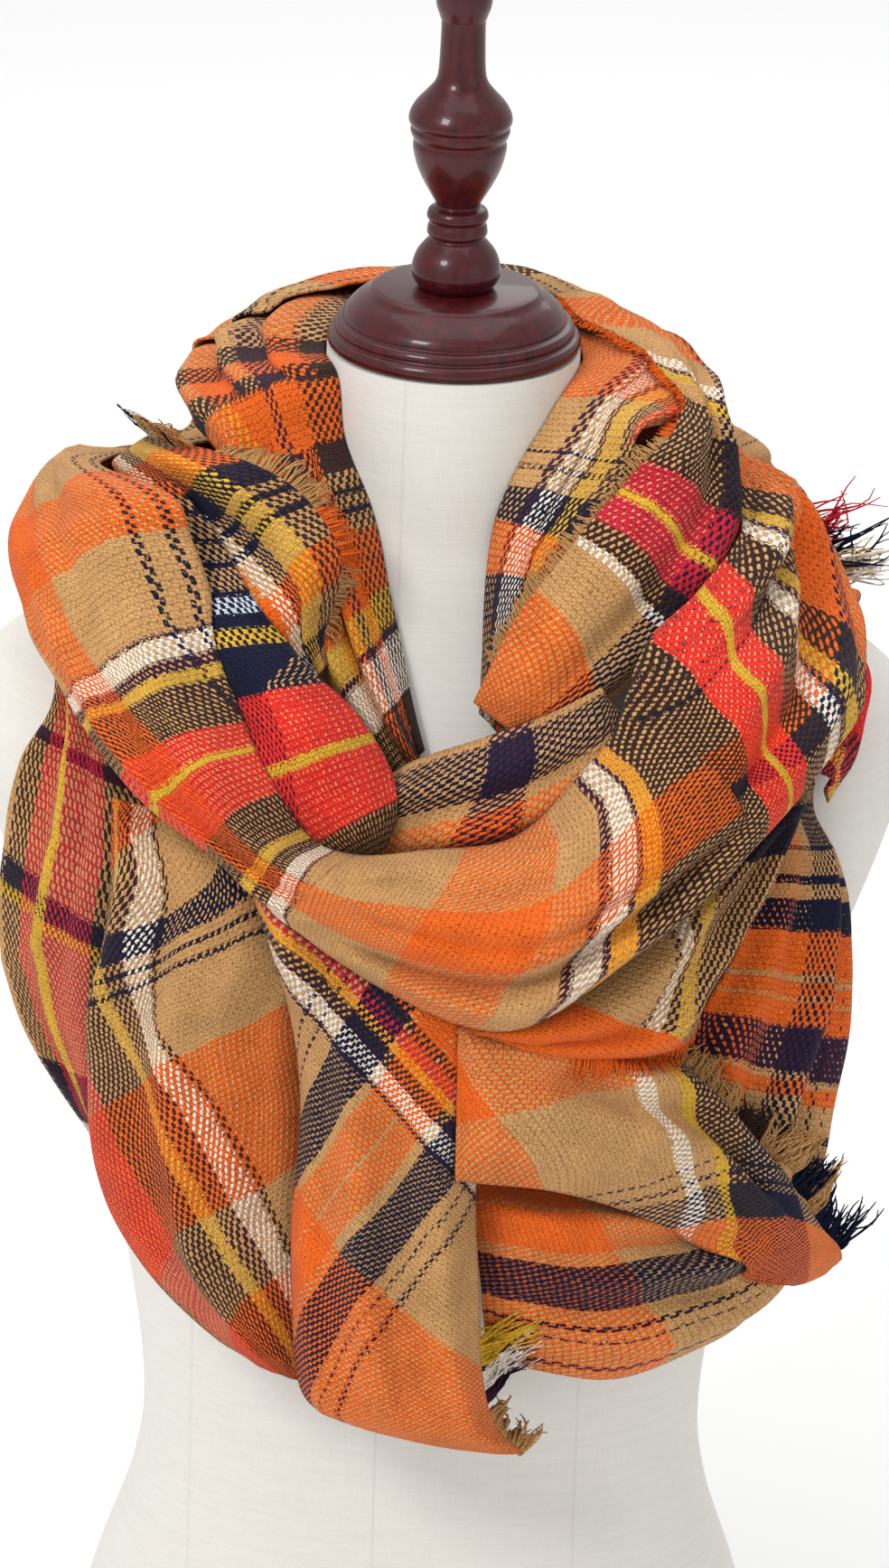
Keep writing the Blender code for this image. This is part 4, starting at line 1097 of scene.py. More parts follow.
def press_edges(turn, launch, reach, from_edge, relief):
    """Bends the cloth near its free edges down towards the layer below it."""
    below = relief.under(turn, launch)
    drop = np.where(below > 0, reach - below - LAYER_GAP, PRESS_DROP)
    weight = 1.0 - smooth_step(from_edge / PRESS_REACH)
    return reach - blur(np.clip(drop, 0.0, PRESS_DROP), PRESS_BLUR) * weight


def ripple(name, along_mm, across_mm):
    """Low, uneven waves over a stretch, from a few crossing sines with a seed for each name."""
    rng = np.random.default_rng(sum(map(ord, name)))
    height = np.zeros(np.broadcast(along_mm, across_mm).shape)
    for _ in range(WAVES):
        angle = rng.uniform(0, math.pi)
        length = rng.uniform(SHORT_WAVE, LONG_WAVE)
        phase = rng.uniform(0, 2 * math.pi)
        wave = (along_mm * math.cos(angle) + across_mm * math.sin(angle)) * 2 * math.pi / length + phase
        bent = np.sin(wave + WAVE_BEND * np.sin(wave * WAVE_BEND_PACE + phase))
        height = height + bent * length / LONG_WAVE
    return height * RIPPLE


trial = ripple("tail", np.arange(100.0)[:, None], np.arange(100.0))
print(f"waves of the tail: {trial.min():.1f} to {trial.max():.1f} mm")

# %% [markdown]
# ## A whole run of cloth
# The class below lays one run. First it settles the run on coarse cells, exactly as the solids were
# settled, and takes the lift from that. Then it lays the same run on cells of 2.5 mm, with creases,
# wrinkles and waves. Last it tells every point how many millimetres along the cloth and across it the
# point lies, with the plaid's bend and slant in them. The plaid is woven on these two numbers. Unwrapping
# the finished mesh would be the usual way, but an unwrap doesn't know which way the yarns run.


# %% Laying a run
COARSE_ACROSS = 8        # cells across a stretch in the coarse settling
COARSE_WALL = 2.0
COARSE_SAMPLES = 10
CELL = 2.5               # size of a cell of the finished cloth
LEAST_CELLS = 8
FOLD_BLUR = 3            # passes that soften the creases
OVERRUN = 6.0            # sections past each end of a run over which its cloth coordinates carry on
CLOSED_FADE = 40         # distance from the join of a closed run over which its waves grow


class Run:
    """A run of cloth, laid whole and then cut into its stretches."""

    def __init__(self, name, coarse, fine):
        rows, self.stretches = RUNS[name]
        self.name = name
        self.last = len(rows) - 1
        self.starts = [0] + [stretch[1] for stretch in self.stretches[:-1]]
        self.lay_coarse(rows, coarse)
        self.lay_fine(rows, fine)

    def stations(self, cells):
        """Sections of the table at which the run is laid, with so many cells for each stretch."""
        return joined([
            np.linspace(start, stretch[1], count + 1)
            for start, stretch, count in zip(self.starts, self.stretches, cells)
        ])

    def lay_coarse(self, rows, relief):
        """The run as the solids have it."""
        counts = [cells for _, _, cells, _ in self.stretches]
        self.coarse_stations = self.stations(counts) / self.last
        across = np.linspace(0.0, 1.0, COARSE_ACROSS + 1)[None, :]
        turn, launch, reach = run_shape(rows, self.coarse_stations, across)
        depth = joined([
            crease_depth(CREASES[name], np.linspace(0.0, 1.0, cells + 1)[:, None], across)
            for name, _, cells, _ in self.stretches
        ])
        self.coarse_lift = settle_coarse(turn, launch, reach, depth, relief)
        points = place(turn, launch, reach + self.coarse_lift - depth)
        relief.add_sheet(points, COARSE_WALL, COARSE_SAMPLES)

    def fold_depth(self, counts, across):
        """Creases and wrinkles of all stretches together."""
        depths = []
        for (name, *_), count in zip(self.stretches, counts):
            along = np.linspace(0.0, 1.0, count + 1)[:, None]
            depth = crease_depth(CREASES[name], along, across)
            depth = depth + crease_depth(WRINKLES.get(name, ()), along, across)
            depths.append(depth + crease_depth(CROSS_WRINKLES.get(name, ()), across, along))
        return blur(joined(depths), FOLD_BLUR)

    def measure(self, points, whole):
        """Millimetres down the run at each row of points, and the same for any section of its table."""
        steps = np.linalg.norm(np.diff(points, axis=0), axis=2).mean(axis=1)
        down = np.concatenate(([0], steps.cumsum()))
        pace = down[-1] / self.last
        sections = np.concatenate(([-OVERRUN], whole, [self.last + OVERRUN]))
        lengths = np.concatenate(([-OVERRUN * pace], down, [down[-1] + OVERRUN * pace]))
        self.length_at = lambda row: np.interp(row, sections, lengths)
        return down

    def lay_fine(self, rows, relief):
        """The run as fine cloth, with its cloth coordinates and its slices."""
        width, guide, _ = PLAIDS[self.name]
        counts = [max(LEAST_CELLS, round(length / CELL)) for *_, length in self.stretches]
        whole = self.stations(counts)
        across = np.linspace(0.0, 1.0, round(width / CELL) + 1)[None, :]
        turn, launch, reach = run_shape(rows, whole / self.last, across)
        lift = smooth_between(self.coarse_stations, self.coarse_lift, whole / self.last)
        lift = smooth_columns(lift.T, across[0]).T
        reach = reach + lift - self.fold_depth(counts, across)

        points = place(turn, launch, reach)
        down = self.measure(points, whole)
        local_width = np.linalg.norm(np.diff(points, axis=1), axis=2).sum(axis=1, keepdims=True)
        from_end = np.minimum(down, down[-1] - down)[:, None]
        from_edge = np.minimum(across, 1 - across) * local_width
        waves = ripple(self.name, down[:, None], across * width)
        if self.name in CLOSED_RUNS:
            waves = waves * smooth_step((from_end + 0 * from_edge) / CLOSED_FADE)
        else:
            from_edge = np.minimum(from_edge, from_end)
        reach = clear_of(turn, launch, reach + waves, relief)
        reach = press_edges(turn, launch, reach, from_edge, relief)
        reach = clear_of(turn, launch, reach, relief)
        self.points = place(turn, launch, reach)

        guide = np.asarray(guide, dtype=float)
        bend, slant = smooth_between(guide[:, 0] / self.last, guide[:, 1:], whole / self.last).T
        self.across_cloth = (across - bend[:, None]) * width
        self.along_cloth = self.length_at(whole[:, None] - slant[:, None] * across)
        cuts = np.cumsum([0] + counts)
        self.slices = {
            name: slice(a, b + 1) for (name, *_), a, b in zip(self.stretches, cuts, cuts[1:])
        }


print("a run is laid on cells of", CELL, "mm")

# %% [markdown]
# ## From points to objects
# Blender stores a shape as a mesh: points, faces, and for every corner of a face a place on a flat map.
# The operators of the edit mode could build it, but they need a selection at each step. Handing over
# whole lists is shorter and always gives the same result. The flat map takes the cloth's own millimetres,
# turned to metres.


# %% Meshes
def make_mesh(name, points, faces, coords=None):
    """A smooth object from points in millimetres, with coords, in millimetres, as its UV map in metres."""
    mesh = bpy.data.meshes.new(name)
    mesh.from_pydata((np.asarray(points) * METRES).tolist(), [], [list(map(int, face)) for face in faces])
    mesh.update()
    mesh.shade_smooth()
    if coords is not None:
        corner_vertex = np.zeros(len(mesh.loops), dtype=np.int32)
        mesh.loops.foreach_get("vertex_index", corner_vertex)
        layer = mesh.uv_layers.new(name="cloth")
        layer.data.foreach_set("uv", (np.asarray(coords) * METRES)[corner_vertex].astype(np.float32).ravel())
    item = bpy.data.objects.new(name, mesh)
    bpy.context.scene.collection.objects.link(item)
    return item


def facing_out(points, faces):
    """The faces, turned over as one if most of them face the axis."""
    corners = points[faces]
    normals = np.cross(corners[:, 1] - corners[:, 0], corners[:, 2] - corners[:, 0])
    outwards = corners.mean(axis=1) * (1.0, 1.0, 0.0)
    return faces if (normals * outwards).sum() > 0 else faces[:, ::-1]


print("flat maps are in metres: 1 mm of cloth is", METRES, "on the map")

# %% [markdown]
# ## Thin cloth
# Blanket wool is over a millimetre thick, which shows at every edge. The back of the cloth could be built
# as a second grid. The Solidify modifier does it in one step: it adds a wall outside the grid and closes
# the rim.


# %% Cloth
CLOTH_WALL = 1.3         # thickness of the cloth


def make_cloth(name, run):
    """A stretch of thin cloth, cut from its run."""
    pick = run.slices[name]
    points = run.points[pick]
    coords = np.stack((run.along_cloth[pick], run.across_cloth[pick]), axis=-1).reshape(-1, 2)
    flat = points.reshape(-1, 3)
    item = make_mesh(name + "_cloth", flat, facing_out(flat, grid_quads(*points.shape[:2])), coords)
    thick = item.modifiers.new("wall", "SOLIDIFY")
    thick.thickness = CLOTH_WALL * METRES
    thick.offset = 1.0
    return item


print("cloth is", CLOTH_WALL, "mm thick, outwards from its grid")

# %% [markdown]
# ## The form and the turned wood as surfaces
# Both are closed rings stacked one above another, so one helper numbers the faces of both. A subdivision
# surface over a few rings would be lighter, but it shrinks away from its rings, and the cloth is fitted
# to them. Rings that are close enough together need no subdivision.


# %% Rings
FORM_AROUND = 160
FORM_RINGS = 140
FORM_SHARP = 50          # an edge with more degrees than this stays sharp
TURNED_STEPS = 96
TURNED_SPLIT = 5         # rings between two points of a turned profile
TURNED_SHARP = 60
LEAST_RADIUS = 0.2
# Points round the form, rings, and steps along the side of a triangle, as it is added to each relief.
COARSE_FORM = (34, 25, 16)
FINE_FORM = (FORM_AROUND, FORM_RINGS, 3)


def around_axis(steps):
    """Angles at so many even steps round the axis."""
    return np.radians(np.arange(steps) * 360.0 / steps)[None, :]


def ring_quads(rings, around):
    """Faces between closed rings stacked one above the other, facing out."""
    ring = np.arange(rings - 1)[:, None] * around
    side, after = np.arange(around), (np.arange(around) + 1) % around
    corners = (ring + side, ring + after, ring + around + after, ring + around + side)
    return np.stack(corners, axis=-1).reshape(-1, 4)


def make_rings(name, points, sharp):
    """An object from rings of points, closed by a flat face at the bottom and one at the top."""
    rings, around = points.shape[:2]
    side = np.arange(around)
    caps = [side[::-1], (rings - 1) * around + side]
    item = make_mesh(name, points.reshape(-1, 3), [*ring_quads(rings, around), *caps])
    item.data.set_sharp_from_angle(angle=math.radians(sharp))
    return item


def form_points(around, rings):
    """Oval rings up the form, with exponent n in |x/a|^n + |y/b|^n = 1."""
    sections = smooth_columns(FORM_SECTIONS, np.linspace(0.0, 1.0, rings))
    angle = around_axis(around)
    height, half_width, half_depth, back, square = sections.T[:, :, None]
    sine, cosine = np.sin(angle), -np.cos(angle)
    size = (np.abs(sine / half_width) ** square + np.abs(cosine / half_depth) ** square) ** (-1.0 / square)
    return np.stack((size * sine, size * cosine + back, height + 0.0 * size), axis=-1)


def add_form(relief, around, rings, steps):
    """Counts the form among the things that a relief knows."""
    quads = ring_quads(rings, around)
    faces = np.concatenate((quads[:, :3], quads[:, [0, 2, 3]]))
    relief.add(form_points(around, rings).reshape(-1, 3), faces, steps)


def make_turned(name, profile):
    """A turned piece: rings of the profile's radius and height, with small curves kept between its points."""
    profile = np.asarray(profile, dtype=float)[1:-1]
    count = (len(profile) - 1) * TURNED_SPLIT + 1
    curve = smooth_columns(profile, np.linspace(0.0, 1.0, count))[::-1]
    angle = around_axis(TURNED_STEPS)
    radius, height = np.maximum(curve[:, 0:1], LEAST_RADIUS), curve[:, 1:2]
    points = np.stack((radius * np.sin(angle), -radius * np.cos(angle), height + 0 * angle), axis=-1)
    return make_rings(name, points, TURNED_SHARP)


add_form(coarse, *COARSE_FORM)
add_form(fine, *FINE_FORM)
print(f"the form reaches {fine.reach.max():.0f} mm from the axis at most")

# %% [markdown]
# ## Loose ends of yarn
# Where the scarf's edge is fringed, the weft is drawn out and the warp ends hang free, in tufts of soft
# yarn. Hair particles could grow from the edge, but they can't be told to clear the cloth under them. So
# each yarn is a path of nine points that leaves the edge in the cloth's own surface, leans and curls a
# little, stands off the cloth, sags, and is moved out along its rays until it clears the layer below.
# Neighbours lean together, because yarns cling to one another.

# %% Fringes
# For each run: node, stretch, edge (0 upper, 1 lower), share of the edge, spacing, length, droop, how far
# they stand off the cloth (both as shares of the length), and bands of colour along the fringe.
FRINGES = {
    "check_layer": (
        (
            "check_tuft", "check_layer", 0, (0, 0.12), 0.3, 21, 0.1, 0.85,
            ((0, "navy"), (0.2, "linen"), (0.35, "tan"), (0.6, "navy"), (0.7, "tan")),
        ),
        (
            "check_fringe", "check_layer", 0, (0.16, 0.85), 0.7, 16, 0.2, 0,
            ((0, "tan"), (0.5, "orange"), (0.75, "tan")),
        ),
    ),
    "collar": (
        (
            "collar_fringe", "collar_right", 0, (0.02, 0.95), 0.8, 12, 0.1, 0.15,
            ((0, "orange"), (0.5, "tan")),
        ),
    ),
    "tail": (
        (
            "tail_tuft", "tail", 1, (0.66, 0.8), 0.26, 40, 0.05, 0.1,
            ((0, "mustard"), (0.38, "plum"), (0.48, "cream"), (0.8, "plum")),
        ),
        ("tail_fringe", "tail", 1, (0.82, 1), 0.3, 34, 0.5, 0.05, ((0, "tan"),)),
    ),
    "flap": (
        (
            "flap_fringe", "corner_flap", 0, (0.3, 0.98), 0.45, 28, 0.1, 0.5,
            ((0, "tan"), (0.35, "brown"), (0.45, "tan"), (0.6, "navy"), (0.72, "tan"), (0.8, "navy")),
        ),
    ),
    "under_band": (("band_fringe", "under_band", 1, (0.6, 0.95), 0.8, 10, 0.6, 0, ((0, "orange"),)),),
    "shoulder_layer": (
        (
            "shoulder_tuft", "shoulder_layer", 1, (0.02, 0.24), 0.24, 42, 0.2, 0.9,
            ((0, "crimson"), (0.4, "navy"), (0.7, "mustard"), (0.8, "cream")),
        ),
    ),
}
print(f"{sum(map(len, FRINGES.values()))} fringes on {len(FRINGES)} runs")


# %% Paths of the yarns
STRAND_STEPS = 9
STRAND_CLEAR = 1.0       # air between a yarn's middle and the cloth below it
LEAST_YARNS = 4
UNEVEN = 0.4             # spread of the spacing, as a share of it
INWARDS = 4              # cells from the edge to the line inside it that shows which way is out
BESIDE = 3               # distance along the edge over which its direction is taken
LENGTHS = (0.55, 1.1)    # of single yarns, as shares of the fringe's length
BUNDLE = 5               # yarns that lean together
BUNDLE_LEAN = 0.13       # spread of the lean of bundles, and of single yarns in them
YARN_LEAN = 0.05
CURL = 0.035             # spread of the curl of a yarn that lies flat, and what is added for one that stands
CURL_STANDING = 0.07
CURL_TURNS = (3, 7)      # how far a curl turns from root to end, in radians
BULGE = 0.05             # how far the middle of a yarn stands out of the edge's plane, and its spread
BULGE_SPREAD = 0.10
ROOT_DEPTH = 1.2         # how far inside the edge a yarn starts
STANDING_UP = 0.8        # how far a yarn that stands off points up, against 1 outwards
STANDING = (0.7, 1.2)    # how far single yarns stand off, as shares of the fringe's own
SAG_POWER = 1.7


def along_edge(line, down, at):
    """Points at distances along a line of points."""
    return np.column_stack([np.interp(at, down, column) for column in line.T])


def fringe_paths(points, edge, span, spacing, length, droop, rise, relief, seed):
    """Paths of yarn ends that leave an edge, as strands by steps by 3, and each one's place in the span."""
    rng = np.random.default_rng(seed)
    line, inner = points[:, -edge], points[:, -1 - INWARDS if edge else INWARDS]
    down = np.concatenate(([0], np.linalg.norm(np.diff(line, axis=0), axis=1).cumsum()))
    last = len(line) - 1
    first, final = np.interp(np.asarray(span) * last, np.arange(last + 1), down)
    count = max(LEAST_YARNS, int((final - first) / spacing))
    at = np.linspace(first, final, count) + rng.normal(0, spacing * UNEVEN, count)

    root = along_edge(line, down, at)
    along = unit(along_edge(line, down, at + BESIDE) - along_edge(line, down, at - BESIDE))
    outward = root - along_edge(inner, down, at)
    outward = unit(outward - along * (outward * along).sum(axis=1, keepdims=True))
    normal = np.cross(along, outward)
    away = unit(root * (1, 1, 0))

    share = np.linspace(0.0, 1.0, STRAND_STEPS)[None, :, None]
    single = (count, 1, 1)
    reach = length * rng.uniform(*LENGTHS, single)
    knots = np.arange(0, count + BUNDLE + 1, BUNDLE)
    group = np.interp(np.arange(count), knots, rng.normal(0, BUNDLE_LEAN, len(knots)))
    lean = (group + rng.normal(0, YARN_LEAN, count))[:, None, None]
    sway = rng.normal(0, CURL + CURL_STANDING * rise, single)
    curl = sway * np.sin(share * rng.uniform(*CURL_TURNS, single))
    bulge = rng.normal(BULGE, BULGE_SPREAD, single)
    stand = (away + (0, 0, STANDING_UP)) * rise * rng.uniform(*STANDING, (count, 1))
    path = (
        root[:, None] - outward[:, None] * ROOT_DEPTH
        + (outward[:, None] * (1 - rise) + stand[:, None]) * reach * share
        + along[:, None] * reach * (lean * share + curl)
        + normal[:, None] * reach * (bulge * share * (1 - share) * 2 + curl * 0.5)
    )
    path[..., 2:] -= droop * reach * share**SAG_POWER

    turn, launch, far = locate(path)
    below = relief.under(turn, launch)
    short = np.where(below > 0, np.maximum(below + STRAND_CLEAR - far, 0.0), 0.0)
    far = far + short * smooth_step(share[..., 0] * 3)
    return place(turn, launch, far), (at - first) / (final - first)


print(f"a yarn has {STRAND_STEPS} points, and leans with {BUNDLE} of its neighbours")

# %% [markdown]
# ## Yarns as tubes
# A curve object with a bevel makes one tube easily, but hundreds of curve objects are slow to handle, and
# each would need its own map for the colours. All the tubes of a fringe go into one mesh here. Their map
# holds each yarn's place along the fringe and the share of its own length.


# %% Tubes
STRAND_SIDES = 4
STRAND_RADIUS = 0.65
TAPER_AT = (0, 0.6, 1)   # shares of a yarn's length, and its radius there
TAPER_TO = (1.0, 0.85, 0.35)


def make_yarns(name, paths, where, radius):
    """Tubes round paths, one mesh for all: a strand has STRAND_SIDES sides, and narrows to its end."""
    strands, steps = paths.shape[:2]
    tangent = unit(np.gradient(paths, axis=1))
    side = unit(np.cross(tangent, paths * (1, 1, 0)))
    up = np.cross(side, tangent)
    angle = (np.arange(STRAND_SIDES) * 2 * math.pi / STRAND_SIDES)[None, None, :, None]
    taper = radius * np.interp(np.linspace(0, 1, steps), TAPER_AT, TAPER_TO)[None, :, None, None]
    ring = (
        paths[:, :, None]
        + side[:, :, None] * np.cos(angle) * taper
        + up[:, :, None] * np.sin(angle) * taper
    )

    # The rings of a yarn go round the other way, so its faces are turned over.
    quads = np.roll(ring_quads(steps, STRAND_SIDES)[:, ::-1], 1, axis=1)
    shift = (np.arange(strands) * steps * STRAND_SIDES)[:, None, None]
    here = np.arange(STRAND_SIDES)
    ends = np.stack((here, (steps - 1) * STRAND_SIDES + here[::-1]))
    faces = np.concatenate(((quads + shift).reshape(-1, 4), (ends + shift).reshape(-1, STRAND_SIDES)))
    grow = np.broadcast_to(np.linspace(0, 1, steps)[None, :, None], ring.shape[:3])
    spot = np.broadcast_to(np.asarray(where)[:, None, None], ring.shape[:3])
    coords = np.stack((spot, grow), axis=-1).reshape(-1, 2) / METRES
    return make_mesh(name, ring.reshape(-1, 3), faces, coords)


print(f"a yarn is {STRAND_RADIUS * 2} mm thick at its root")

# %% [markdown]
# ## Shader maths that reads like maths
# A finish is a tree of small nodes, each with one sum to do. Linking them by hand takes three lines for
# each plus sign. So an output of a node is wrapped in a small class here, and Python's own operators make
# and link the nodes: `height * 2 + 1` is two nodes. The trees are the same as ones that are drawn by hand
# in the shader editor, and can be looked at there.


# %% Values and graphs
class Value:
    """A shader output that can be added, subtracted, multiplied and compared like a number."""

    def __init__(self, graph, socket):
        self.graph = graph
        self.socket = socket

    def __add__(self, other):
        return self.graph.math("ADD", self, other)

    def __sub__(self, other):
        return self.graph.math("SUBTRACT", self, other)

    def __rsub__(self, other):
        return self.graph.math("SUBTRACT", other, self)

    def __mul__(self, other):
        return self.graph.math("MULTIPLY", self, other)

    def __mod__(self, other):
        return self.graph.math("FLOORED_MODULO", self, other)

    def __gt__(self, other):
        return self.graph.math("GREATER_THAN", self, other)

    __radd__ = __add__
    __rmul__ = __mul__


class Graph:
    """The node tree of one finish."""

    def __init__(self, name):
        self.material = bpy.data.materials.new(name)
        self.material.use_nodes = True
        self.tree = self.material.node_tree
        self.shader = self.tree.nodes["Principled BSDF"]

    def plug(self, socket, value):
        """Links a value to a socket, or sets the socket to a plain number or colour."""
        if isinstance(value, Value):
            self.tree.links.new(value.socket, socket)
        else:
            socket.default_value = value

    def node(self, kind, settings=(), inputs=(), output=0):
        """A node of a kind: its settings first, then the values or links of its sockets."""
        node = self.tree.nodes.new(kind)
        for key, value in dict(settings).items():
            if key == "stops":
                set_stops(node.color_ramp, value)
            else:
                setattr(node, key, value)
        for key, value in dict(inputs).items():
            self.plug(node.inputs[key], value)
        return Value(self, node.outputs[output])

    def math(self, operation, *values):
        """One sum of numbers."""
        return self.node("ShaderNodeMath", {"operation": operation}, enumerate(values))

    def mix(self, factor, first, second, blend="MIX"):
        """Colours mixed by a factor."""
        settings = {"data_type": "RGBA", "blend_type": blend}
        return self.node("ShaderNodeMix", settings, {0: factor, 6: first, 7: second}, 2)

    def shaded(self, colour, shade):
        """A colour made darker or lighter by a number, where 1 leaves it as it is."""
        tone = self.node("ShaderNodeCombineColor", (), {0: shade, 1: shade, 2: shade})
        return self.mix(1.0, colour, tone, "MULTIPLY")

    def cloth_map(self):
        """The place on the flat map of the cloth."""
        return self.node("ShaderNodeUVMap", {"uv_map": "cloth"})

    def in_object(self):
        """The place in the object's own space, in metres."""
        return self.node("ShaderNodeTexCoord", output=3)

    def axis(self, vector, index):
        """One of the three numbers of a vector."""
        return self.node("ShaderNodeSeparateXYZ", (), {0: vector}, index)

    def noise(self, vector, scale, detail=2.0, rough=0.5):
        """Noise from 0 to 1, with so many waves to the metre."""
        inputs = {"Vector": vector, "Scale": scale, "Detail": detail, "Roughness": rough}
        return self.node("ShaderNodeTexNoise", (), inputs)

    def stretched(self, vector, scale):
        """A vector with its three numbers scaled: a noise grows long where the scale is small."""
        return self.node("ShaderNodeMapping", (), {"Vector": vector, "Scale": scale})

    def bump(self, strength, distance, height):
        """Normals that make the surface look raised where height is large."""
        return self.node("ShaderNodeBump", (), {"Strength": strength, "Distance": distance, "Height": height})

    def finish(self, **inputs):
        """Sets or links sockets of the shader by name, with _ for a space."""
        for key, value in inputs.items():
            self.plug(self.shader.inputs[key.replace("_", " ")], value)
        return self.material


def set_stops(ramp, stops):
    """Hard-edged bands: each stop holds its colour up to the next one."""
    ramp.interpolation = "CONSTANT"
    while len(ramp.elements) > 1:
        ramp.elements.remove(ramp.elements[-1])
    for index, (position, colour) in enumerate(stops):
        element = ramp.elements[0] if index == 0 else ramp.elements.new(position)
        element.position = position
        element.color = colour


print("sums that can be written with operators: + - * % >")

# %% [markdown]
# ## The weave
# The wool is woven from soft, fluffy yarns about 1.6 mm apart. A picture of a weave could be tiled over
# the cloth, but the plaid would then need a picture for each pair of colours. The weave is worked out
# from two numbers at each point instead: how many warp yarns and how many weft yarns lie between here and
# the start.
#
# Warp yarns run along the cloth and weft yarns across it. Warp yarn j goes over two weft yarns and under
# two, and its neighbours do so two weft yarns later. A warp float is a rounded hump that leans a little
# and tapers at its sides, and the weft shows wherever that hump is low. The colour gets painted shade
# where the weave lies low, between the yarns. The fluff is a fine noise: it frays the edges of the bands,
# lets one colour show through the other here and there, and breaks up the light.


# %% Weave
YARN_PITCH = 1.6         # distance from one yarn to the next
YARN_WANDER = 1.2        # how far a yarn strays from its straight line, in yarns
LEAN = 0.3               # how far a float leans, in yarns
TAPER = 0.75             # how much a float narrows at its ends
WEFT_ROUND = 0.7         # how much lower a weft yarn is at its sides
WEFT_RAISED = 0.1        # how far the weft lies above the middle of the cloth
FRAY = 3.6               # how far the edge of a band strays, in yarns
DOMINANCE = 4.0          # how strongly a difference of weight lets one set of yarns cover the other
SHOW_THROUGH = 2.4       # how strongly the fluff does
WANDER_SCALE, FLUFF_SCALE, PATCH_SCALE = 340.0, 900.0, 45.0
# The colour gets painted shade: the lower the weave lies, between the yarns, the darker it is. The fluff and
# the patches make it darker or lighter at random.
SHADE = 0.56             # of the lowest parts of the weave
PAINTED_SHADE_BY_HEIGHT, SHADE_FLUFF, SHADE_PATCH = 0.42, 1.2, 0.4
BUMP_FLUFF = 0.8


def weave_bands(graph, table, yarn, fluff):
    """The colour and the weight of a yarn, from the bands that it is counted in."""
    low, high = table[0][0], table[-1][0] + YARN_PITCH
    stops = [((start - low) / (high - low), (*COLOURS[colour], weight)) for start, colour, weight in table]
    spot = (yarn + 0.5 + (fluff - 0.5) * FRAY) * (YARN_PITCH / (high - low)) - low / (high - low)
    colour = graph.node("ShaderNodeValToRGB", {"stops": stops}, {0: spot})
    return colour, Value(graph, colour.socket.node.outputs[1])


def weave_finish(name, warp, weft):
    """A weave of soft wool in short floats, with its own bands of warp and weft colour."""
    graph = Graph(name)
    coords, in_object = graph.cloth_map(), graph.in_object()
    wander = (graph.noise(coords, WANDER_SCALE) - 0.5) * YARN_WANDER
    yarns = 1.0 / (YARN_PITCH * METRES)
    along = graph.axis(coords, 0) * yarns + wander
    across = graph.axis(coords, 1) * yarns - wander
    weft_yarn, warp_yarn = graph.math("FLOOR", along), graph.math("FLOOR", across)
    warp_side = (across - warp_yarn) * 2.0 - 1.0
    weft_side = (along - weft_yarn) * 2.0 - 1.0
    step = warp_yarn % 2.0 * 2.0
    float_wave = graph.math("SINE", (along + step + warp_side * LEAN) * (math.pi / 2))
    warp_lift = float_wave - warp_side * warp_side * TAPER
    under = graph.math("SINE", (weft_yarn + step + 0.5) * (math.pi / 2))
    weft_lift = (1.0 - weft_side * weft_side * WEFT_ROUND) * (WEFT_RAISED - under)
    height = graph.math("MAXIMUM", warp_lift, weft_lift)

    fluff = graph.noise(in_object, FLUFF_SCALE, 3.0, 0.65)
    loose = fluff - 0.5
    warp_colour, warp_weight = weave_bands(graph, warp, warp_yarn, fluff)
    weft_colour, weft_weight = weave_bands(graph, weft, weft_yarn, fluff)
    on_top = warp_lift + (warp_weight - weft_weight) * DOMINANCE + loose * SHOW_THROUGH > 0.0
    yarn_colour = graph.mix(on_top, weft_colour, warp_colour)

    patch = graph.noise(in_object, PATCH_SCALE) - 0.5
    # Painted shade where the weave lies low, and random tone from the fluff and the patches.
    shade = SHADE + height * PAINTED_SHADE_BY_HEIGHT + loose * SHADE_FLUFF + patch * SHADE_PATCH
    return graph.finish(
        Base_Color=graph.shaded(yarn_colour, shade), Roughness=0.95, Sheen_Weight=0.06,
        Specular_IOR_Level=0.1, Normal=graph.bump(0.55, 0.0009, height + loose * BUMP_FLUFF),
    )


print(f"{1 / (YARN_PITCH / 10):.1f} yarns to the centimetre")

# %% [markdown]
# ## Loose yarn
# A loose end is twisted wool, so fine bands of light on its ridges and shade in its grooves wind round it.
# Real twist could be modelled as two strands, which is wasted at this size. A sine along each yarn paints
# the bands into the colour as light and shade, and the yarn's place along the fringe picks its colour,
# just as the warp's bands end in the tufts.


# %% Loose yarn
TWIST, TWIST_APART = 60.0, 900.0    # turns along a yarn, and how differently neighbours start
YARN_FLUFF_SCALE = 1400.0


def yarn_finish(name, bands):
    """Loose yarn: colour bands along the fringe, and the twist's painted light and shade on each strand."""
    graph = Graph(name)
    coords = graph.cloth_map()
    spot, grow = graph.axis(coords, 0), graph.axis(coords, 1)
    stops = [(start, (*COLOURS[colour], 1.0)) for start, colour in bands]
    colour = graph.node("ShaderNodeValToRGB", {"stops": stops}, {0: spot})
    fluff = graph.noise(graph.in_object(), YARN_FLUFF_SCALE, 2.0, 0.6)
    twist = graph.math("SINE", grow * TWIST + spot * TWIST_APART)
    # Painted light and shade of the twist, and fluff that makes the colour darker or lighter at random.
    shade = 0.72 + twist * 0.12 + (fluff - 0.5) * 0.6
    return graph.finish(
        Base_Color=graph.shaded(colour, shade), Roughness=0.9, Specular_IOR_Level=0.1,
        Normal=graph.bump(0.4, 0.0004, twist + fluff),
    )


print("fringes that take this finish:", sorted(row[0] for rows in FRINGES.values() for row in rows))

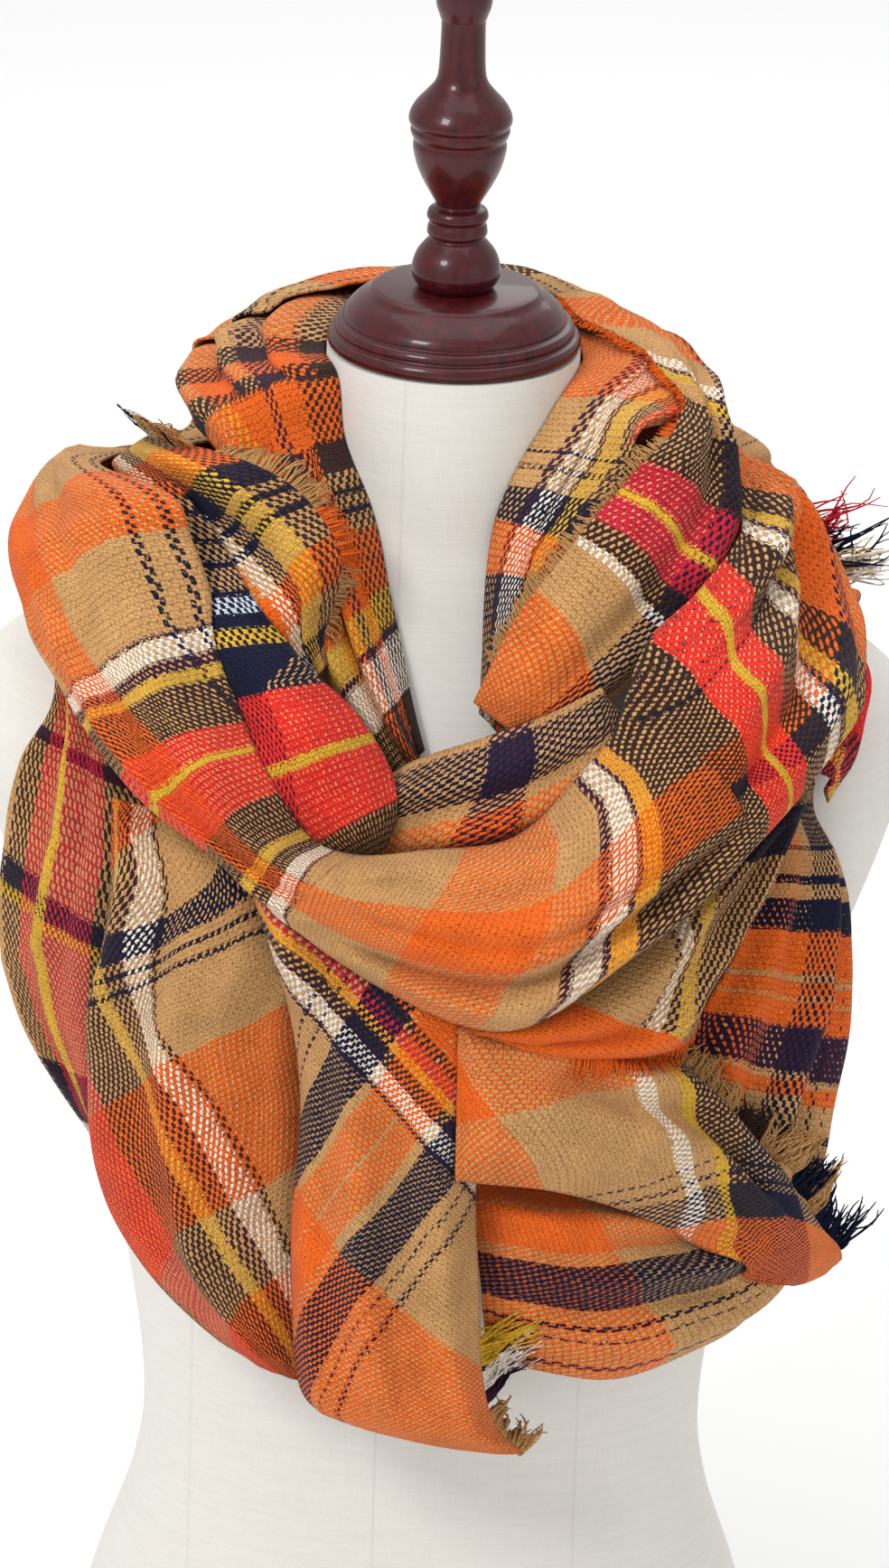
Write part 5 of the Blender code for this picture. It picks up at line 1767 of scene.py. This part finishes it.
# %% [markdown]
# ## Linen
# The form is covered in off-white linen: threads both ways, uneven in thickness, a thick slub here and
# there, and raised seams down the front. The threads could be woven like the scarf's, but they are far
# finer than a dot of the picture at this distance. Two noises, one drawn out upwards and one drawn out
# sideways, look the same and need no flat map.


# %% Linen
SEAMS = (-103.0, -20.0, 70.0)
SEAM_WIDTH = 0.9         # half the width of a seam
UPRIGHT, LEVEL = (1.0, 1.0, 0.05), (0.05, 0.05, 1.0)
THREAD_SCALE, SLUB_SCALE = 2200.0, 420.0


def linen_finish(name):
    """Off-white linen: uneven threads both ways, a faint slub here and there, and raised seams."""
    graph = Graph(name)
    in_object = graph.in_object()
    sideways = graph.axis(in_object, 0)
    level_place = graph.stretched(in_object, LEVEL)
    upright = graph.noise(graph.stretched(in_object, UPRIGHT), THREAD_SCALE)
    level = graph.noise(level_place, THREAD_SCALE)
    slub = graph.noise(level_place, SLUB_SCALE, 3.0, 0.6)
    seam = 0.0
    for seam_x in SEAMS:
        away = graph.math("ABSOLUTE", sideways - seam_x * METRES) * (1.0 / (SEAM_WIDTH * METRES))
        seam = graph.math("MAXIMUM", graph.math("MAXIMUM", 1.0 - away, 0.0), seam)
    shade = 0.90 + (upright + level - 1.0) * 0.12 + (slub - 0.5) * 0.10 - seam * 0.035
    return graph.finish(
        Base_Color=graph.shaded((*COLOURS["linen"], 1.0), shade), Roughness=0.85, Sheen_Weight=0.1,
        Specular_IOR_Level=0.2, Normal=graph.bump(0.35, 0.0006, (upright + level) * 0.6 + seam * 1.6),
    )


linen = linen_finish("linen")
print(linen.name, "has", len(linen.node_tree.nodes), "nodes")

# %% [markdown]
# ## Varnished wood
# The cap and the finial are dark red wood under thick varnish. A flat brown with a shine would do from
# far away. Close by, wood has long grain with small dark pores, so one noise is drawn out upwards for
# both, and a clear coat over it gives the varnish its own, sharper shine.


# %% Wood
GRAIN_LONG = (1.0, 1.0, 0.12)
GRAIN_SCALE, PORE_SCALE = 260.0, 1500.0
PORE_LEVEL, PORE_DARK = 0.62, 0.35


def wood_finish(name):
    """Dark red mahogany under thick varnish: long upright grain with small dark pores."""
    graph = Graph(name)
    stretched = graph.stretched(graph.in_object(), GRAIN_LONG)
    grain = graph.noise(stretched, GRAIN_SCALE, 5.0, 0.6)
    pores = graph.noise(stretched, PORE_SCALE)
    streak = graph.math("MULTIPLY_ADD", grain, 1.6, -0.3)
    dark, red = (*COLOURS["wood_dark"], 1.0), (*COLOURS["wood_red"], 1.0)
    colour = graph.mix((pores > PORE_LEVEL) * PORE_DARK, graph.mix(streak, dark, red), dark)
    return graph.finish(
        Base_Color=colour, Roughness=0.3 + grain * 0.12, Coat_Weight=0.3, Coat_Roughness=0.08,
        Specular_IOR_Level=0.25, Normal=graph.bump(0.08, 0.0003, grain),
    )


wood = wood_finish("mahogany")
print(wood.name, "has", len(wood.node_tree.nodes), "nodes")

# %% [markdown]
# ## Putting the form together
# Each finished piece is tied to a node of the imported model: it takes that node's place, gets its own
# finish, and rides on the one body. The form, cap and finial could be the solids themselves, but their
# ovals and grooves show corners close by, so finer surfaces from the same tables are used.

# %% Form, cap and finial
form = make_rings("linen_form", form_points(FORM_AROUND, FORM_RINGS), FORM_SHARP)
form.data.materials.append(linen)
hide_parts("form_torso")
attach(form, "root")
for node, profile in (("neck_cap", CAP_PROFILE), ("finial", FINIAL_PROFILE)):
    turned = make_turned(node + "_turned", profile)
    turned.data.materials.append(wood)
    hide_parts(node)
    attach(turned, "root")
    print(f"{turned.name}: {len(turned.data.vertices)} points")

# %% [markdown]
# ## Winding the scarf
# The runs are laid from the inside out, as a scarf is wound. After each run come its fringes, which have
# to lie over what is below them but not over the run itself, and only then does the run go into the
# relief. Last it is cut into its stretches, and the area of each stretch's surface is printed beside
# the size of its cut.


# %% Runs, fringes and stretches
CLOTH_SAMPLES = 2


def surface_area(grid):
    """The area of a grid of points, in square millimetres."""
    along, across = grid[1:, :-1] - grid[:-1, :-1], grid[:-1, 1:] - grid[:-1, :-1]
    return np.linalg.norm(np.cross(along, across), axis=2).sum()


for name in RUNS:
    run = Run(name, coarse, fine)
    fringes = []
    for node, of, edge, span, spacing, length, droop, rise, bands in FRINGES.get(name, ()):
        points = run.points[run.slices[of]]
        seed = len(fringes) + sum(map(ord, node))
        paths, where = fringe_paths(points, edge, span, spacing, length, droop, rise, fine, seed)
        fringe = make_yarns(node + "_yarns", paths, where, STRAND_RADIUS)
        fringe.data.materials.append(yarn_finish(node, bands))
        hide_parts(node)
        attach(fringe, "root")
        fringes.append((of, fringe))
        print(f"{node}: {len(paths)} yarns")
    fine.add_sheet(run.points, CLOTH_WALL, CLOTH_SAMPLES)
    for node, *_, length in run.stretches:
        cloth = make_cloth(node, run)
        cloth.data.materials.append(weave_finish(node, *plaid_bands(run, node)))
        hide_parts(node)
        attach(cloth, "root")
        area = surface_area(run.points[run.slices[node]])
        flat = (FLAT_WIDTHS[node], length)
        print(f"{node}: {area / 100:.0f} cm2, cut {flat[0]} x {flat[1]} mm, {len(cloth.data.polygons)} cells")
        flat[0] * METRES
        flat[1] * METRES
        min(area, flat[0] * flat[1]) * METRES**2
        [fringe for of, fringe in fringes if of == node]

# %% [markdown]
# ## Floor, light and camera
# The scarf stands in a white room. A sky picture would light it softly too, but four plain area lamps
# over a white world can be set one by one: a key from the left front that models the folds, a weak fill,
# a lamp behind for the rims and a broad one above. The camera stands four metres away with a long lens,
# so that the form's sides stay nearly parallel.


# %% Floor and light
FLOOR = 6000.0           # half the width of the floor
WHITE = (1.0, 1.0, 1.0, 1.0)
FLOOR_TONE = (0.9, 0.9, 0.9, 1.0)
WORLD_STRENGTH = 0.7
# Name, place and aim in metres, size in metres, power in watts.
LAMPS = (
    ("key", (-1.5, -1.9, 2.4), (0, 0, 0.45), 0.8, 46),
    ("fill", (2.2, -1.8, 1.2), (0, 0, 0.45), 1.6, 4),
    ("back", (0.6, 2.4, 2.2), (0, 0, 0.5), 1.6, 12),
    ("top", (0.0, 0.4, 3.6), (0, 0.2, 0), 3.5, 54),
)

corners = [(-FLOOR, -FLOOR, 0), (FLOOR, -FLOOR, 0), (FLOOR, FLOOR, 0), (-FLOOR, FLOOR, 0)]
floor = make_mesh("floor", corners, [(0, 1, 2, 3)])
floor.data.materials.append(Graph("floor").finish(Base_Color=FLOOR_TONE, Roughness=0.9))
floor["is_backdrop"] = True

world = bpy.data.worlds.new("studio")
world.use_nodes = True
background = world.node_tree.nodes["Background"]
background.inputs[0].default_value = WHITE
background.inputs[1].default_value = WORLD_STRENGTH
bpy.context.scene.world = world
bpy.context.scene.view_settings.view_transform = "Standard"
for name, place_at, aim, size, power in LAMPS:
    light = bpy.data.lights.new(name, "AREA")
    light.energy = power
    light.size = size
    lamp = bpy.data.objects.new(name, light)
    lamp.location = place_at
    lamp.rotation_euler = (Vector(aim) - Vector(place_at)).to_track_quat("-Z", "Y").to_euler()
    bpy.context.scene.collection.objects.link(lamp)
    print(f"{name} lamp: {power} W")

# %% Camera
IMAGE_HEIGHT = 1735
MM_PER_PIXEL = 0.40
SENSOR = 24.0
FAR = 50.0               # metres up to which the camera sees
CAMERA_DISTANCE = 4000.0
CAMERA_PITCH = 21.5
CAMERA_ROLL = 1.8
CAMERA_TARGET = (2.0, 0.0, 458.0)


def turn_camera(camera, distance, pitch, roll, target):
    """Stands the camera at a distance from the target, pitched down and rolled, in front of the object."""
    ahead = Vector((0.0, math.cos(pitch), -math.sin(pitch)))
    above = Vector((0.0, math.sin(pitch), math.cos(pitch)))
    beside = Vector((1.0, 0.0, 0.0))
    right = beside * math.cos(roll) + above * math.sin(roll)
    top = above * math.cos(roll) - beside * math.sin(roll)
    matrix = Matrix((right, top, -ahead)).transposed().to_4x4()
    matrix.translation = target - ahead * distance
    camera.matrix_world = matrix


camera_data = bpy.data.cameras.new("camera")
camera_data.sensor_fit = "VERTICAL"
camera_data.sensor_height = SENSOR
camera_data.lens = CAMERA_DISTANCE / (IMAGE_HEIGHT * MM_PER_PIXEL) * SENSOR
camera_data.clip_end = FAR
camera = bpy.data.objects.new("camera", camera_data)
bpy.context.scene.collection.objects.link(camera)
turn_camera(
    camera, CAMERA_DISTANCE * METRES, math.radians(CAMERA_PITCH), math.radians(CAMERA_ROLL),
    Vector(CAMERA_TARGET) * METRES,
)
bpy.context.scene.camera = camera
print(f"lens: {camera_data.lens:.0f} mm on a sensor {SENSOR:.0f} mm high")

# %% [markdown]
# ## Sizes
# The lowest and highest corners of all that is drawn, apart from the floor, are printed in millimetres.
# The fine surfaces must stay within a few millimetres of the solids.

# %% Sizes and the end
low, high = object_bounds()
for label, corner in (("lowest", low), ("highest", high)):
    print(label, [round(value * 1000, 1) for value in corner])
